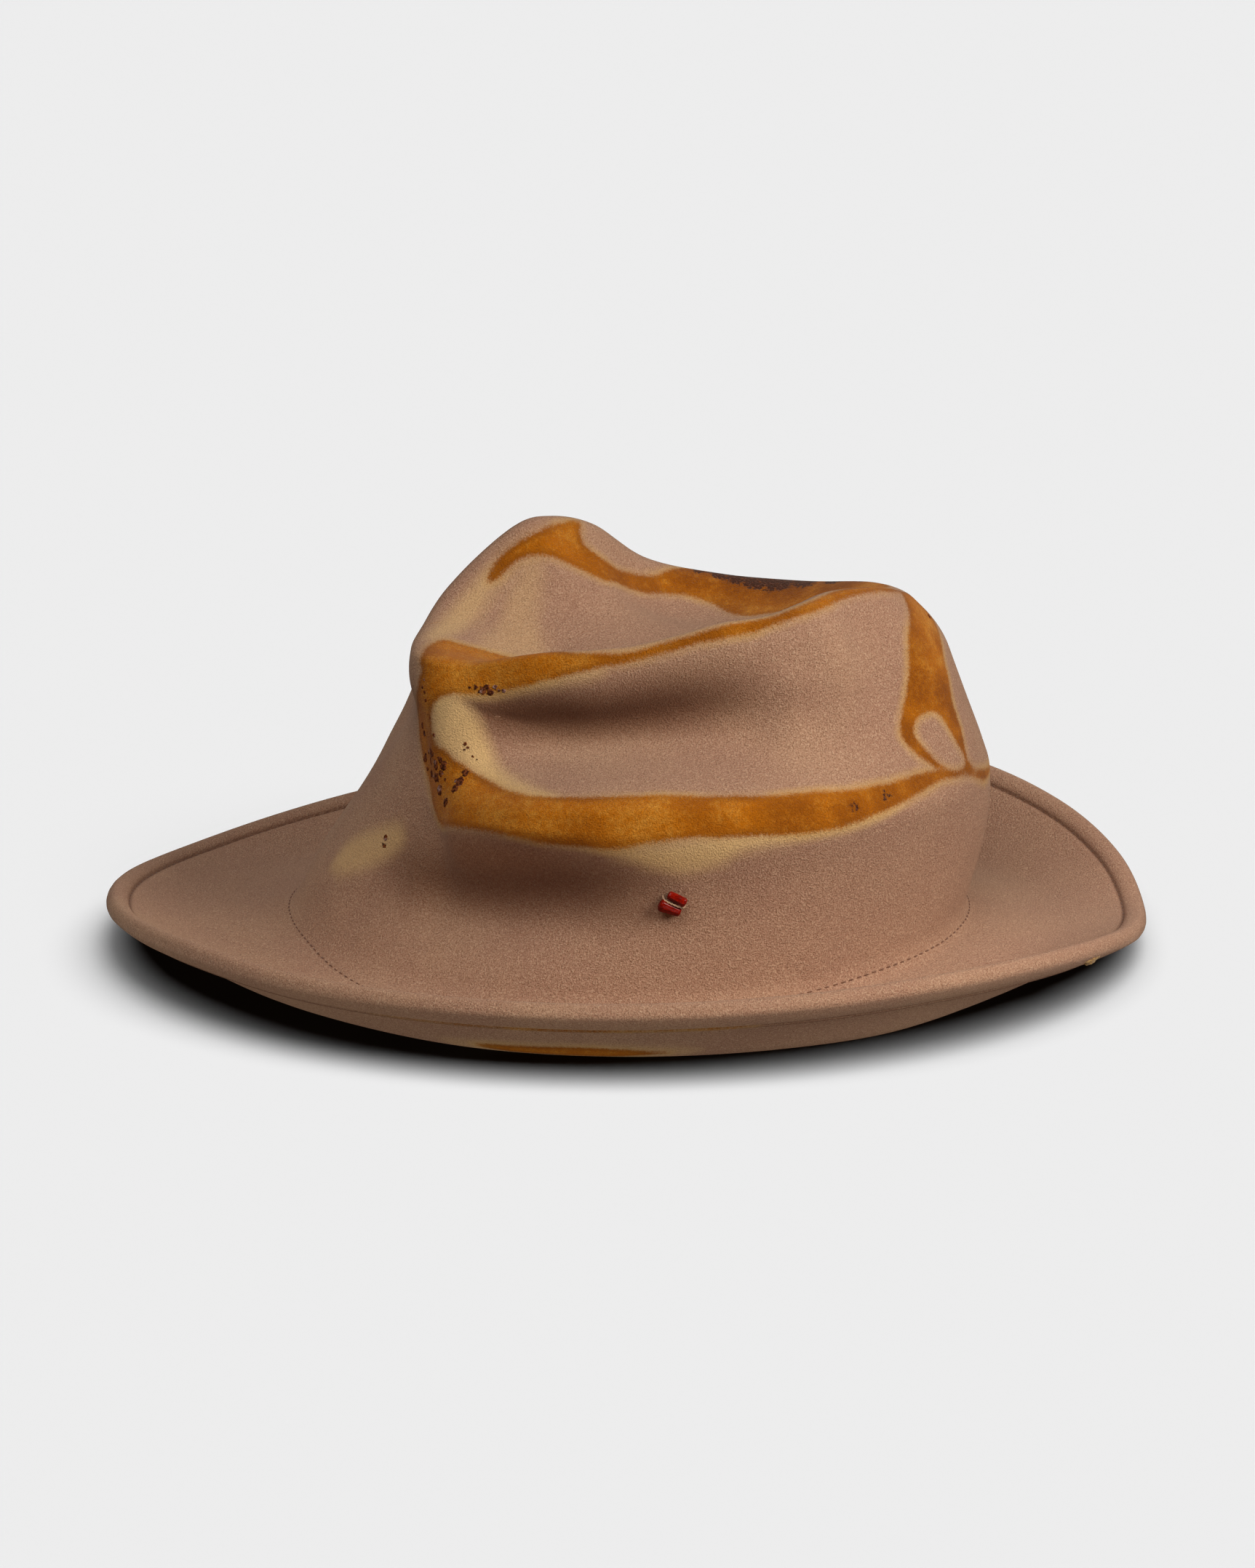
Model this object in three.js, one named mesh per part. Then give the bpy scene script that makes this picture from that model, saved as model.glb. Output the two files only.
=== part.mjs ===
import * as THREE from "three";

// Felt hat: one piece of felt, a crumpled crown on a rolling brim, with two glass chips sewn to the
// near wall. Millimetres, +Z up. The hat rests on z = 0, its front points to -X, and the origin lies
// under the middle of the brim.

// Brim: outline over the rolled edge, and how high the edge may rise above the surface
const BRIM_LENGTH = 328;
const BRIM_WIDTH = 288;
const BRIM_RISE = 30;

// Crown: the oval that goes round the head, and the height of the peak's crease
const HEAD_LENGTH = 212;
const HEAD_WIDTH = 176;
const CROWN_HEIGHT = 132;

// Felt: its thickness, the width of the doubled hem at the brim's edge, and the most of the rise
// that the hem takes up
const FELT = 2.2;
const HEM = 10;
const HEM_SHARE = 0.8;

// Glass chips: the length, width and thickness of each, the space between the two for the thread
// that holds them, and their gap to the felt
const UPPER_CHIP = { length: 6.0, width: 2.9, thickness: 2.8 };
const LOWER_CHIP = { length: 6.8, width: 3.8, thickness: 3.2 };
const THREAD_SPACE = 0.4;
const GAP = 0.3;

// Finish
const FELT_COLOUR = "#b5896b";
const FELT_ROUGHNESS = 0.95;
const CHIP_COLOUR = "#9c1f16";
const CHIP_ROUGHNESS = 0.15;

// Sections of the crown, one row for each turn about the vertical axis, in degrees from the back (+X)
// to the far side (+Y). Each fold's column holds its reach, as a share of the head oval, and its
// height, as a share of the crown's. From the brim up, the folds are the wall, the waist under the
// ridge, the ridge and its upper crest, the dent, the brow over it, the lip of the top, and the
// slope of the hollow in the top.
const CROWN = [
  { turn: 0, wall: [1.05, 0.21], waist: [1.085, 0.33], ridge: [1.082, 0.43], crest: [1.05, 0.515],
    dent: [0.985, 0.65], brow: [0.93, 0.77], lip: [0.79, 0.885], slope: [0.42, 0.74] },
  { turn: 16, wall: [1.04, 0.21], waist: [1.06, 0.325], ridge: [1.09, 0.43], crest: [1.045, 0.515],
    dent: [0.97, 0.65], brow: [0.9, 0.755], lip: [0.76, 0.865], slope: [0.41, 0.735] },
  { turn: 36, wall: [1.0, 0.21], waist: [0.98, 0.335], ridge: [1.0, 0.43], crest: [0.96, 0.515],
    dent: [0.88, 0.62], brow: [0.8, 0.74], lip: [0.68, 0.835], slope: [0.38, 0.73] },
  { turn: 60, wall: [0.98, 0.21], waist: [0.96, 0.335], ridge: [0.97, 0.43], crest: [0.92, 0.515],
    dent: [0.84, 0.605], brow: [0.74, 0.725], lip: [0.57, 0.84], slope: [0.34, 0.74] },
  { turn: 84, wall: [0.97, 0.21], waist: [0.94, 0.335], ridge: [0.96, 0.425], crest: [0.91, 0.505],
    dent: [0.8, 0.605], brow: [0.68, 0.745], lip: [0.47, 0.885], slope: [0.27, 0.79] },
  { turn: 104, wall: [0.97, 0.2], waist: [0.93, 0.325], ridge: [0.94, 0.425], crest: [0.89, 0.505],
    dent: [0.78, 0.62], brow: [0.64, 0.79], lip: [0.425, 0.985], slope: [0.25, 0.86] },
  { turn: 124, wall: [0.97, 0.2], waist: [0.93, 0.32], ridge: [0.92, 0.425], crest: [0.87, 0.505],
    dent: [0.76, 0.63], brow: [0.61, 0.81], lip: [0.415, 1.02], slope: [0.25, 0.89] },
  { turn: 146, wall: [0.96, 0.2], waist: [0.9, 0.32], ridge: [0.85, 0.425], crest: [0.79, 0.515],
    dent: [0.72, 0.635], brow: [0.6, 0.8], lip: [0.41, 1.005], slope: [0.26, 0.89] },
  { turn: 164, wall: [0.94, 0.2], waist: [0.83, 0.335], ridge: [0.735, 0.44], crest: [0.66, 0.53],
    dent: [0.64, 0.635], brow: [0.62, 0.755], lip: [0.525, 0.885], slope: [0.28, 0.84] },
  { turn: 180, wall: [0.93, 0.2], waist: [0.81, 0.34], ridge: [0.72, 0.455], crest: [0.65, 0.545],
    dent: [0.615, 0.635], brow: [0.63, 0.725], lip: [0.59, 0.8], slope: [0.3, 0.79] },
  { turn: 195, wall: [0.91, 0.19], waist: [0.81, 0.31], ridge: [0.73, 0.43], crest: [0.68, 0.515],
    dent: [0.655, 0.605], brow: [0.67, 0.695], lip: [0.65, 0.78], slope: [0.31, 0.75] },
  { turn: 206, wall: [0.9, 0.16], waist: [0.8, 0.26], ridge: [0.74, 0.39], crest: [0.705, 0.48],
    dent: [0.69, 0.59], brow: [0.705, 0.695], lip: [0.68, 0.775], slope: [0.32, 0.72] },
  { turn: 214, wall: [0.9, 0.135], waist: [0.79, 0.225], ridge: [0.77, 0.375], crest: [0.765, 0.46],
    dent: [0.735, 0.575], brow: [0.715, 0.69], lip: [0.665, 0.775], slope: [0.33, 0.705] },
  { turn: 221, wall: [0.9, 0.12], waist: [0.74, 0.21], ridge: [0.845, 0.4], crest: [0.8, 0.475],
    dent: [0.7, 0.59], brow: [0.685, 0.695], lip: [0.615, 0.77], slope: [0.33, 0.7] },
  { turn: 230, wall: [0.91, 0.11], waist: [0.722, 0.212], ridge: [0.885, 0.415], crest: [0.83, 0.485],
    dent: [0.595, 0.585], brow: [0.645, 0.695], lip: [0.585, 0.79], slope: [0.33, 0.695] },
  { turn: 242, wall: [0.93, 0.11], waist: [0.735, 0.222], ridge: [0.925, 0.43], crest: [0.87, 0.5],
    dent: [0.51, 0.58], brow: [0.62, 0.705], lip: [0.57, 0.815], slope: [0.32, 0.695] },
  { turn: 256, wall: [0.95, 0.12], waist: [0.795, 0.24], ridge: [0.955, 0.435], crest: [0.9, 0.515],
    dent: [0.48, 0.582], brow: [0.61, 0.72], lip: [0.55, 0.83], slope: [0.31, 0.695] },
  { turn: 270, wall: [0.97, 0.135], waist: [0.9, 0.255], ridge: [0.985, 0.435], crest: [0.93, 0.525],
    dent: [0.48, 0.592], brow: [0.6, 0.735], lip: [0.54, 0.842], slope: [0.3, 0.7] },
  { turn: 284, wall: [0.98, 0.15], waist: [0.96, 0.27], ridge: [1.01, 0.44], crest: [0.955, 0.525],
    dent: [0.52, 0.605], brow: [0.62, 0.77], lip: [0.55, 0.864], slope: [0.3, 0.71] },
  { turn: 298, wall: [0.985, 0.15], waist: [0.985, 0.29], ridge: [1.025, 0.445], crest: [0.975, 0.525],
    dent: [0.61, 0.622], brow: [0.665, 0.8], lip: [0.59, 0.897], slope: [0.33, 0.715] },
  { turn: 310, wall: [0.99, 0.165], waist: [1.0, 0.3], ridge: [1.03, 0.445], crest: [0.985, 0.515],
    dent: [0.755, 0.638], brow: [0.735, 0.795], lip: [0.65, 0.914], slope: [0.36, 0.72] },
  { turn: 320, wall: [1.0, 0.18], waist: [1.01, 0.32], ridge: [1.03, 0.44], crest: [0.99, 0.515],
    dent: [0.87, 0.64], brow: [0.805, 0.81], lip: [0.68, 0.94], slope: [0.38, 0.725] },
  { turn: 330, wall: [1.01, 0.18], waist: [1.02, 0.32], ridge: [1.04, 0.44], crest: [1.0, 0.515],
    dent: [0.9, 0.65], brow: [0.82, 0.805], lip: [0.7, 0.955], slope: [0.39, 0.735] },
  { turn: 342, wall: [1.03, 0.2], waist: [1.05, 0.325], ridge: [1.053, 0.43], crest: [1.03, 0.515],
    dent: [0.97, 0.65], brow: [0.89, 0.79], lip: [0.755, 0.943], slope: [0.41, 0.74] },
];

// The hollow in the top runs out into one leaning plane round its middle
const MIDDLE = { reach: 0.12, height: 0.765, lean: 0.3, turn: 128 };

// The sharp front corner leans: how many degrees further round each fold meets it, and how far
// round the crown that shift dies away
const CORNER = { turn: 218, span: 30 };
const CORNER_LEAN = { wall: 3, waist: 5, ridge: 12, crest: 10, dent: 6, brow: 1, lip: 0, slope: 0 };

// Sections of the brim: each stop's height over the resting felt, as a share of the brim's rise.
// From the crown out, the stops are the foot of the wall, the tread, the trough that the hat rests
// on, the rise and the rim.
const BRIM = [
  { turn: 0, foot: 0.3, tread: 0.22, trough: 0.15, rise: 0.21, rim: 0.31 },
  { turn: 14, foot: 0.28, tread: 0.21, trough: 0.12, rise: 0.26, rim: 0.49 },
  { turn: 30, foot: 0.22, tread: 0.15, trough: 0.05, rise: 0.32, rim: 0.71 },
  { turn: 48, foot: 0.18, tread: 0.08, trough: -0.05, rise: 0.4, rim: 0.88 },
  { turn: 70, foot: 0.15, tread: 0.05, trough: -0.08, rise: 0.36, rim: 0.82 },
  { turn: 90, foot: 0.14, tread: 0.05, trough: -0.08, rise: 0.3, rim: 0.68 },
  { turn: 120, foot: 0.16, tread: 0.05, trough: -0.08, rise: 0.15, rim: 0.37 },
  { turn: 150, foot: 0.22, tread: 0.14, trough: 0.08, rise: 0.13, rim: 0.24 },
  { turn: 180, foot: 0.28, tread: 0.21, trough: 0.15, rise: 0.24, rim: 0.47 },
  { turn: 200, foot: 0.22, tread: 0.15, trough: 0.08, rise: 0.28, rim: 0.63 },
  { turn: 215, foot: 0.16, tread: 0.09, trough: 0.04, rise: 0.32, rim: 0.73 },
  { turn: 232, foot: 0.11, tread: 0.05, trough: 0.0, rise: 0.34, rim: 0.72 },
  { turn: 250, foot: 0.11, tread: 0.05, trough: -0.06, rise: 0.32, rim: 0.73 },
  { turn: 270, foot: 0.11, tread: 0.05, trough: -0.08, rise: 0.32, rim: 0.74 },
  { turn: 290, foot: 0.11, tread: 0.05, trough: -0.08, rise: 0.32, rim: 0.76 },
  { turn: 306, foot: 0.13, tread: 0.07, trough: -0.08, rise: 0.33, rim: 0.76 },
  { turn: 320, foot: 0.18, tread: 0.11, trough: 0.0, rise: 0.3, rim: 0.7 },
  { turn: 334, foot: 0.23, tread: 0.16, trough: 0.05, rise: 0.25, rim: 0.57 },
  { turn: 347, foot: 0.28, tread: 0.2, trough: 0.12, rise: 0.22, rim: 0.4 },
];

// Where each stop lies between the head oval and the brim's edge
const STOP_REACH = { rim: 1, rise: 0.74, trough: 0.5, tread: 0.22, foot: 0 };

// How far each corner of a section is rounded, as a share of its legs, and its number of facets
const ROUNDING = {
  rise: { share: 0.5, facets: 1 },
  trough: { share: 0.5, facets: 2 },
  tread: { share: 0.5, facets: 1 },
  foot: { share: 0.45, facets: 1 },
  wall: { share: 0.5, facets: 2 },
  waist: { share: 0.5, facets: 2 },
  ridge: { share: 0.3, facets: 2 },
  crest: { share: 0.45, facets: 1 },
  dent: { share: 0.4, facets: 2 },
  brow: { share: 0.45, facets: 2 },
  lip: { share: 0.4, facets: 2 },
  slope: { share: 0.5, facets: 2 },
  middle: { share: 0.5, facets: 1 },
};
const COLUMNS_PER_SECTION = 3;
const ROLL_FACETS = 3;

// The thread's middle on the near wall: its turn, its height as a share of the crown's, and how
// far its line drops towards the back, in degrees. The chips lie above and below that line.
const SEAT = { turn: 278, height: 0.29, drop: 25 };

// A chip's cut: facets round it, its table and its girdle as shares of its width and thickness
const CUT = { sides: 8, table: 0.6, girdle: 0.3 };

function smoothColumn(rows, turn, read) {
  // A smooth closed curve through the rows, read at any turn
  const full = 360;
  const at = ((turn % full) + full) % full;
  const count = rows.length;
  const row = (i) => {
    const lap = Math.floor(i / count);
    const source = rows[i - lap * count];
    return { turn: source.turn + lap * full, value: read(source) };
  };
  let i = count - 1;
  while (i > 0 && rows[i].turn > at) i -= 1;
  const [before, start, end, after] = [row(i - 1), row(i), row(i + 1), row(i + 2)];
  const step = end.turn - start.turn;
  const rate = (a, b) => (b.value - a.value) / (b.turn - a.turn);
  const slope = (a, b, c) => {
    const [left, right] = [b.turn - a.turn, c.turn - b.turn];
    return (rate(a, b) * right + rate(b, c) * left) / (left + right);
  };
  const t = (at - start.turn) / step;
  const [m0, m1] = [slope(before, start, end) * step, slope(start, end, after) * step];
  const [t2, t3] = [t * t, t * t * t];
  return (2 * t3 - 3 * t2 + 1) * start.value + (t3 - 2 * t2 + t) * m0
    + (3 * t2 - 2 * t3) * end.value + (t3 - t2) * m1;
}

function leaningTurn(turn, lean) {
  // The turn at which a fold reads its table, moved back where the front corner leans
  const away = (((turn - CORNER.turn + 180) % 360) + 360) % 360 - 180;
  return turn - lean * Math.exp(-0.5 * (away / CORNER.span) ** 2);
}

function ovalPoint(halfLength, halfWidth, turn, height) {
  const angle = THREE.MathUtils.degToRad(turn);
  return new THREE.Vector3(halfLength * Math.cos(angle), halfWidth * Math.sin(angle), height);
}

function upperCorners(turn) {
  // The named corners of the felt's upper face at one turn, from the rim to the middle of the top
  const half = { length: HEAD_LENGTH / 2, width: HEAD_WIDTH / 2 };
  const spare = { length: BRIM_LENGTH / 2 - FELT - half.length, width: BRIM_WIDTH / 2 - FELT - half.width };
  const corners = Object.entries(STOP_REACH).map(([name, share]) => {
    const height = FELT + BRIM_RISE * smoothColumn(BRIM, turn, (row) => row[name]);
    const reach = { length: half.length + spare.length * share, width: half.width + spare.width * share };
    return { name, point: ovalPoint(reach.length, reach.width, turn, height) };
  });
  for (const [name, lean] of Object.entries(CORNER_LEAN)) {
    const at = leaningTurn(turn, lean);
    const reach = smoothColumn(CROWN, at, (row) => row[name][0]);
    const height = smoothColumn(CROWN, at, (row) => row[name][1]);
    const point = ovalPoint(half.length * reach, half.width * reach, turn, height * CROWN_HEIGHT);
    corners.push({ name, point });
  }
  const towards = THREE.MathUtils.degToRad(turn - MIDDLE.turn);
  const middleHeight = MIDDLE.height + MIDDLE.lean * MIDDLE.reach * Math.cos(towards);
  const middle = ovalPoint(half.length * MIDDLE.reach, half.width * MIDDLE.reach, turn,
    middleHeight * CROWN_HEIGHT);
  corners.push({ name: "middle", point: middle });
  corners.push({ name: "top", point: new THREE.Vector3(0, 0, MIDDLE.height * CROWN_HEIGHT) });
  return corners;
}

function legNormals(corners, turn) {
  // The upward unit normal of each straight leg between two corners
  const angle = THREE.MathUtils.degToRad(turn);
  const round = new THREE.Vector3(-HEAD_LENGTH * Math.sin(angle), HEAD_WIDTH * Math.cos(angle), 0);
  return corners.slice(1).map(({ point }, i) => {
    const along = point.clone().sub(corners[i].point);
    return round.clone().cross(along).normalize();
  });
}

function cornersBelow(corners, turn, thickness) {
  // The same corners on the felt's under face: each leg moved down its own normal by the thickness
  const normals = legNormals(corners, turn);
  return corners.map(({ name, point }, i) => {
    if (name === "top") return { name, point: point.clone().setZ(point.z - thickness) };
    const before = normals[Math.max(i - 1, 0)];
    const mitre = before.clone().add(normals[i]).divideScalar(1 + before.dot(normals[i]));
    return { name, point: point.clone().addScaledVector(mitre, -thickness) };
  });
}

function roundedCurve(corners) {
  // A section with its corners rounded, as points: its ends stay where they are
  const curve = [corners[0].point];
  for (let i = 1; i < corners.length - 1; i += 1) {
    const { name, point } = corners[i];
    const { share, facets } = ROUNDING[name];
    const from = point.clone().lerp(corners[i - 1].point, share);
    const to = point.clone().lerp(corners[i + 1].point, share);
    const bend = new THREE.QuadraticBezierCurve3(from, point, to).getPoints(facets);
    const meetsLast = i > 1 && share + ROUNDING[corners[i - 1].name].share >= 1;
    curve.push(...bend.slice(meetsLast ? 1 : 0));
  }
  curve.push(corners[corners.length - 1].point);
  return curve;
}

function feltSection(turn) {
  // The felt's whole section at one turn: from the top's middle out over the rim's roll and back
  // below it. The hem is doubled, and where the under face would sink into the surface it lies flat.
  const upper = upperCorners(turn);
  const [rim, rise] = [upper[0].point, upper[1].point];
  const normal = legNormals(upper, turn)[0];
  const outward = rim.clone().sub(rise).normalize();
  const hemWidth = Math.min(HEM, HEM_SHARE * rim.distanceTo(rise));
  const hem = rim.clone().addScaledVector(outward, -hemWidth);
  const roll = Array.from({ length: ROLL_FACETS - 1 }, (_, step) => {
    const angle = Math.PI * (step + 1) / ROLL_FACETS;
    return rim.clone().addScaledVector(normal, FELT * (Math.cos(angle) - 1))
      .addScaledVector(outward, FELT * Math.sin(angle));
  });
  const hemBelow = [rim, hem].map((point) => point.clone().addScaledVector(normal, -2 * FELT));
  const lower = cornersBelow(upper, turn, FELT);
  lower[0].point = hem.clone().addScaledVector(normal, -FELT);
  const below = [...hemBelow, ...roundedCurve(lower)];
  for (const point of below) point.z = Math.max(point.z, 0);
  return [...roundedCurve(upper).reverse(), ...roll, ...below];
}

function sectionTurns() {
  // Columns of the mesh: the table's own turns, and evenly spaced ones between them
  return CROWN.flatMap((row, i) => {
    const next = i + 1 < CROWN.length ? CROWN[i + 1].turn : CROWN[0].turn + 360;
    const step = (next - row.turn) / COLUMNS_PER_SECTION;
    return Array.from({ length: COLUMNS_PER_SECTION }, (_, j) => row.turn + step * j);
  });
}

function feltGeometry() {
  // One closed body through all sections, with a pole at each end of them
  const sections = sectionTurns().map(feltSection);
  const columns = sections.length;
  const last = sections[0].length - 1;
  const rings = sections[0].map((_, k) => sections.map((section) => section[k]));
  const inner = rings.slice(1, last).flat();
  const points = [...inner, rings[0][0], rings[last][0]];
  const [topPole, underPole] = [inner.length, inner.length + 1];
  const underRing = (last - 2) * columns;
  const index = [];
  for (let i = 0; i < columns; i += 1) {
    const j = (i + 1) % columns;
    index.push(topPole, i, j, underRing + i, underPole, underRing + j);
    for (let start = 0; start < underRing; start += columns) {
      const next = start + columns;
      index.push(start + i, next + i, next + j, start + i, next + j, start + j);
    }
  }
  const geometry = new THREE.BufferGeometry().setFromPoints(points);
  geometry.setIndex(index);
  return geometry;
}

function wallPlace(turn, height) {
  // The point of the wall between its foot and the ridge at a turn and height, and its outward normal
  const find = (at) => {
    const corners = upperCorners(at);
    const [foot, ridge] = ["foot", "ridge"].map((end) => corners.findIndex(({ name }) => name === end));
    const points = roundedCurve(corners.slice(foot, ridge + 1));
    let k = 0;
    while (k < points.length - 2 && points[k + 1].z < height) k += 1;
    const [low, high] = [points[k], points[k + 1]];
    const share = (height - low.z) / (high.z - low.z);
    return { point: low.clone().lerp(high, share), along: high.clone().sub(low) };
  };
  const { point, along } = find(turn);
  const round = find(turn + 1).point.sub(find(turn - 1).point);
  return { point, normal: round.cross(along).normalize() };
}

function chipGeometry({ length, width, thickness }) {
  // A chip with a table on each face, facets round both and a flat girdle, lying in its x and z
  const profile = [
    new THREE.Vector2(0, -0.5),
    new THREE.Vector2(0.5 * CUT.table, -0.5),
    new THREE.Vector2(0.5, -0.5 * CUT.girdle),
    new THREE.Vector2(0.5, 0.5 * CUT.girdle),
    new THREE.Vector2(0.5 * CUT.table, 0.5),
    new THREE.Vector2(0, 0.5),
  ];
  const geometry = new THREE.LatheGeometry(profile, CUT.sides);
  geometry.rotateY(Math.PI / CUT.sides);
  geometry.scale(length, thickness, width);
  return geometry;
}

function chipPair(material) {
  // Both chips on one seat, turned with it: a group whose y axis leaves the wall
  const { point, normal } = wallPlace(SEAT.turn, SEAT.height * CROWN_HEIGHT);
  const side = new THREE.Vector3(0, 0, 1).cross(normal).normalize();
  const pair = new THREE.Group();
  const frame = new THREE.Matrix4().makeBasis(side, normal, side.clone().cross(normal));
  pair.quaternion.setFromRotationMatrix(frame);
  pair.position.copy(point);
  pair.rotateY(THREE.MathUtils.degToRad(-SEAT.drop));
  for (const [name, size, way] of [["bead_upper", UPPER_CHIP, 1], ["bead_lower", LOWER_CHIP, -1]]) {
    const chip = new THREE.Mesh(chipGeometry(size), material);
    chip.name = name;
    chip.position.set(0, GAP + size.thickness / 2, way * (THREAD_SPACE + size.width) / 2);
    pair.add(chip);
  }
  return pair;
}

const felt = new THREE.MeshStandardMaterial({ color: FELT_COLOUR, roughness: FELT_ROUGHNESS, metalness: 0 });
const glass = new THREE.MeshStandardMaterial({
  color: CHIP_COLOUR,
  roughness: CHIP_ROUGHNESS,
  metalness: 0,
});

const group = new THREE.Group();
const body = new THREE.Mesh(feltGeometry(), felt);
body.name = "felt_body";
group.add(body);
group.add(chipPair(glass));

export default group;
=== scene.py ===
import math

import bpy
import numpy as np
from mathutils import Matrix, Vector, noise


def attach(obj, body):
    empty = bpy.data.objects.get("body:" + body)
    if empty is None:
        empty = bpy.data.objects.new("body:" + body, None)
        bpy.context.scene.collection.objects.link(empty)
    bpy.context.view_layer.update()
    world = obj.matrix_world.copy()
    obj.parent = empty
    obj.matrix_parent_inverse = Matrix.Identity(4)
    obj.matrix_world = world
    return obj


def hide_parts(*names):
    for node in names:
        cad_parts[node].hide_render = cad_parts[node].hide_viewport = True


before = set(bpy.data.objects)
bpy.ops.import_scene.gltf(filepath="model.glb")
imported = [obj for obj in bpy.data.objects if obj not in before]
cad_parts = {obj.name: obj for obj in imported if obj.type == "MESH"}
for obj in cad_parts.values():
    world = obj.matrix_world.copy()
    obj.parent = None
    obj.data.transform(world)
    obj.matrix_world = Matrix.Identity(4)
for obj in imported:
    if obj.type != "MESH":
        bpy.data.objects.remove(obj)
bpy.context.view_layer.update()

# Felt hat, dressed: the felt's surface with its rolled hem, scorched creases and nap, the stitches,
# the two glass beads with their thread, and the studio round it. Metres, +Z up.


def table(columns, rows):
    """Rows of a table, each by the names of its columns."""
    return [dict(zip(columns.split(), row)) for row in rows]


# Sizes of the hat, as its part has them
BRIM_LENGTH = 0.328
BRIM_WIDTH = 0.288
BRIM_RISE = 0.030
HEAD_LENGTH = 0.212
HEAD_WIDTH = 0.176
CROWN_HEIGHT = 0.132
FELT = 0.0022
HEM = 0.010
HEM_SHARE = 0.8
MM = 0.001

# Sections of the crown: reach and height of each fold at each turn, as the part has them
CROWN = table("turn wall waist ridge crest dent brow lip slope", [
    (0, (1.05, 0.21), (1.085, 0.33), (1.082, 0.43), (1.05, 0.515),
     (0.985, 0.65), (0.93, 0.77), (0.79, 0.885), (0.42, 0.74)),
    (16, (1.04, 0.21), (1.06, 0.325), (1.09, 0.43), (1.045, 0.515),
     (0.97, 0.65), (0.9, 0.755), (0.76, 0.865), (0.41, 0.735)),
    (36, (1, 0.21), (0.98, 0.335), (1, 0.43), (0.96, 0.515), (0.88, 0.62),
     (0.8, 0.74), (0.68, 0.835), (0.38, 0.73)),
    (60, (0.98, 0.21), (0.96, 0.335), (0.97, 0.43), (0.92, 0.515),
     (0.84, 0.605), (0.74, 0.725), (0.57, 0.84), (0.34, 0.74)),
    (84, (0.97, 0.21), (0.94, 0.335), (0.96, 0.425), (0.91, 0.505),
     (0.8, 0.605), (0.68, 0.745), (0.47, 0.885), (0.27, 0.79)),
    (104, (0.97, 0.2), (0.93, 0.325), (0.94, 0.425), (0.89, 0.505),
     (0.78, 0.62), (0.64, 0.79), (0.425, 0.985), (0.25, 0.86)),
    (124, (0.97, 0.2), (0.93, 0.32), (0.92, 0.425), (0.87, 0.505),
     (0.76, 0.63), (0.61, 0.81), (0.415, 1.02), (0.25, 0.89)),
    (146, (0.96, 0.2), (0.9, 0.32), (0.85, 0.425), (0.79, 0.515),
     (0.72, 0.635), (0.6, 0.8), (0.41, 1.005), (0.26, 0.89)),
    (164, (0.94, 0.2), (0.83, 0.335), (0.735, 0.44), (0.66, 0.53), (0.64, 0.635),
     (0.62, 0.755), (0.525, 0.885), (0.28, 0.84)),
    (180, (0.93, 0.2), (0.81, 0.34), (0.72, 0.455), (0.65, 0.545),
     (0.615, 0.635), (0.63, 0.725), (0.59, 0.8), (0.3, 0.79)),
    (195, (0.91, 0.19), (0.81, 0.31), (0.73, 0.43), (0.68, 0.515), (0.655, 0.605),
     (0.67, 0.695), (0.65, 0.78), (0.31, 0.75)),
    (206, (0.9, 0.16), (0.8, 0.26), (0.74, 0.39), (0.705, 0.48), (0.69, 0.59),
     (0.705, 0.695), (0.68, 0.775), (0.32, 0.72)),
    (214, (0.9, 0.135), (0.79, 0.225), (0.77, 0.375), (0.765, 0.46), (0.735, 0.575),
     (0.715, 0.69), (0.665, 0.775), (0.33, 0.705)),
    (221, (0.9, 0.12), (0.74, 0.21), (0.845, 0.4), (0.8, 0.475), (0.7, 0.59),
     (0.685, 0.695), (0.615, 0.77), (0.33, 0.7)),
    (230, (0.91, 0.11), (0.722, 0.212), (0.885, 0.415), (0.83, 0.485),
     (0.595, 0.585), (0.645, 0.695), (0.585, 0.79), (0.33, 0.695)),
    (242, (0.93, 0.11), (0.735, 0.222), (0.925, 0.43), (0.87, 0.5),
     (0.51, 0.58), (0.62, 0.705), (0.57, 0.815), (0.32, 0.695)),
    (256, (0.95, 0.12), (0.795, 0.24), (0.955, 0.435), (0.9, 0.515),
     (0.48, 0.582), (0.61, 0.72), (0.55, 0.83), (0.31, 0.695)),
    (270, (0.97, 0.135), (0.9, 0.255), (0.985, 0.435), (0.93, 0.525),
     (0.48, 0.592), (0.6, 0.735), (0.54, 0.842), (0.3, 0.7)),
    (284, (0.98, 0.15), (0.96, 0.27), (1.01, 0.44), (0.955, 0.525),
     (0.52, 0.605), (0.62, 0.77), (0.55, 0.864), (0.3, 0.71)),
    (298, (0.985, 0.15), (0.985, 0.29), (1.025, 0.445), (0.975, 0.525),
     (0.61, 0.622), (0.665, 0.8), (0.59, 0.897), (0.33, 0.715)),
    (310, (0.99, 0.165), (1, 0.3), (1.03, 0.445), (0.985, 0.515), (0.755, 0.638),
     (0.735, 0.795), (0.65, 0.914), (0.36, 0.72)),
    (320, (1, 0.18), (1.01, 0.32), (1.03, 0.44), (0.99, 0.515), (0.87, 0.64),
     (0.805, 0.81), (0.68, 0.94), (0.38, 0.725)),
    (330, (1.01, 0.18), (1.02, 0.32), (1.04, 0.44), (1, 0.515), (0.9, 0.65),
     (0.82, 0.805), (0.7, 0.955), (0.39, 0.735)),
    (342, (1.03, 0.2), (1.05, 0.325), (1.053, 0.43), (1.03, 0.515),
     (0.97, 0.65), (0.89, 0.79), (0.755, 0.943), (0.41, 0.74)),
])
FOLDS = ("wall", "waist", "ridge", "crest", "dent", "brow", "lip", "slope")
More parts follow.
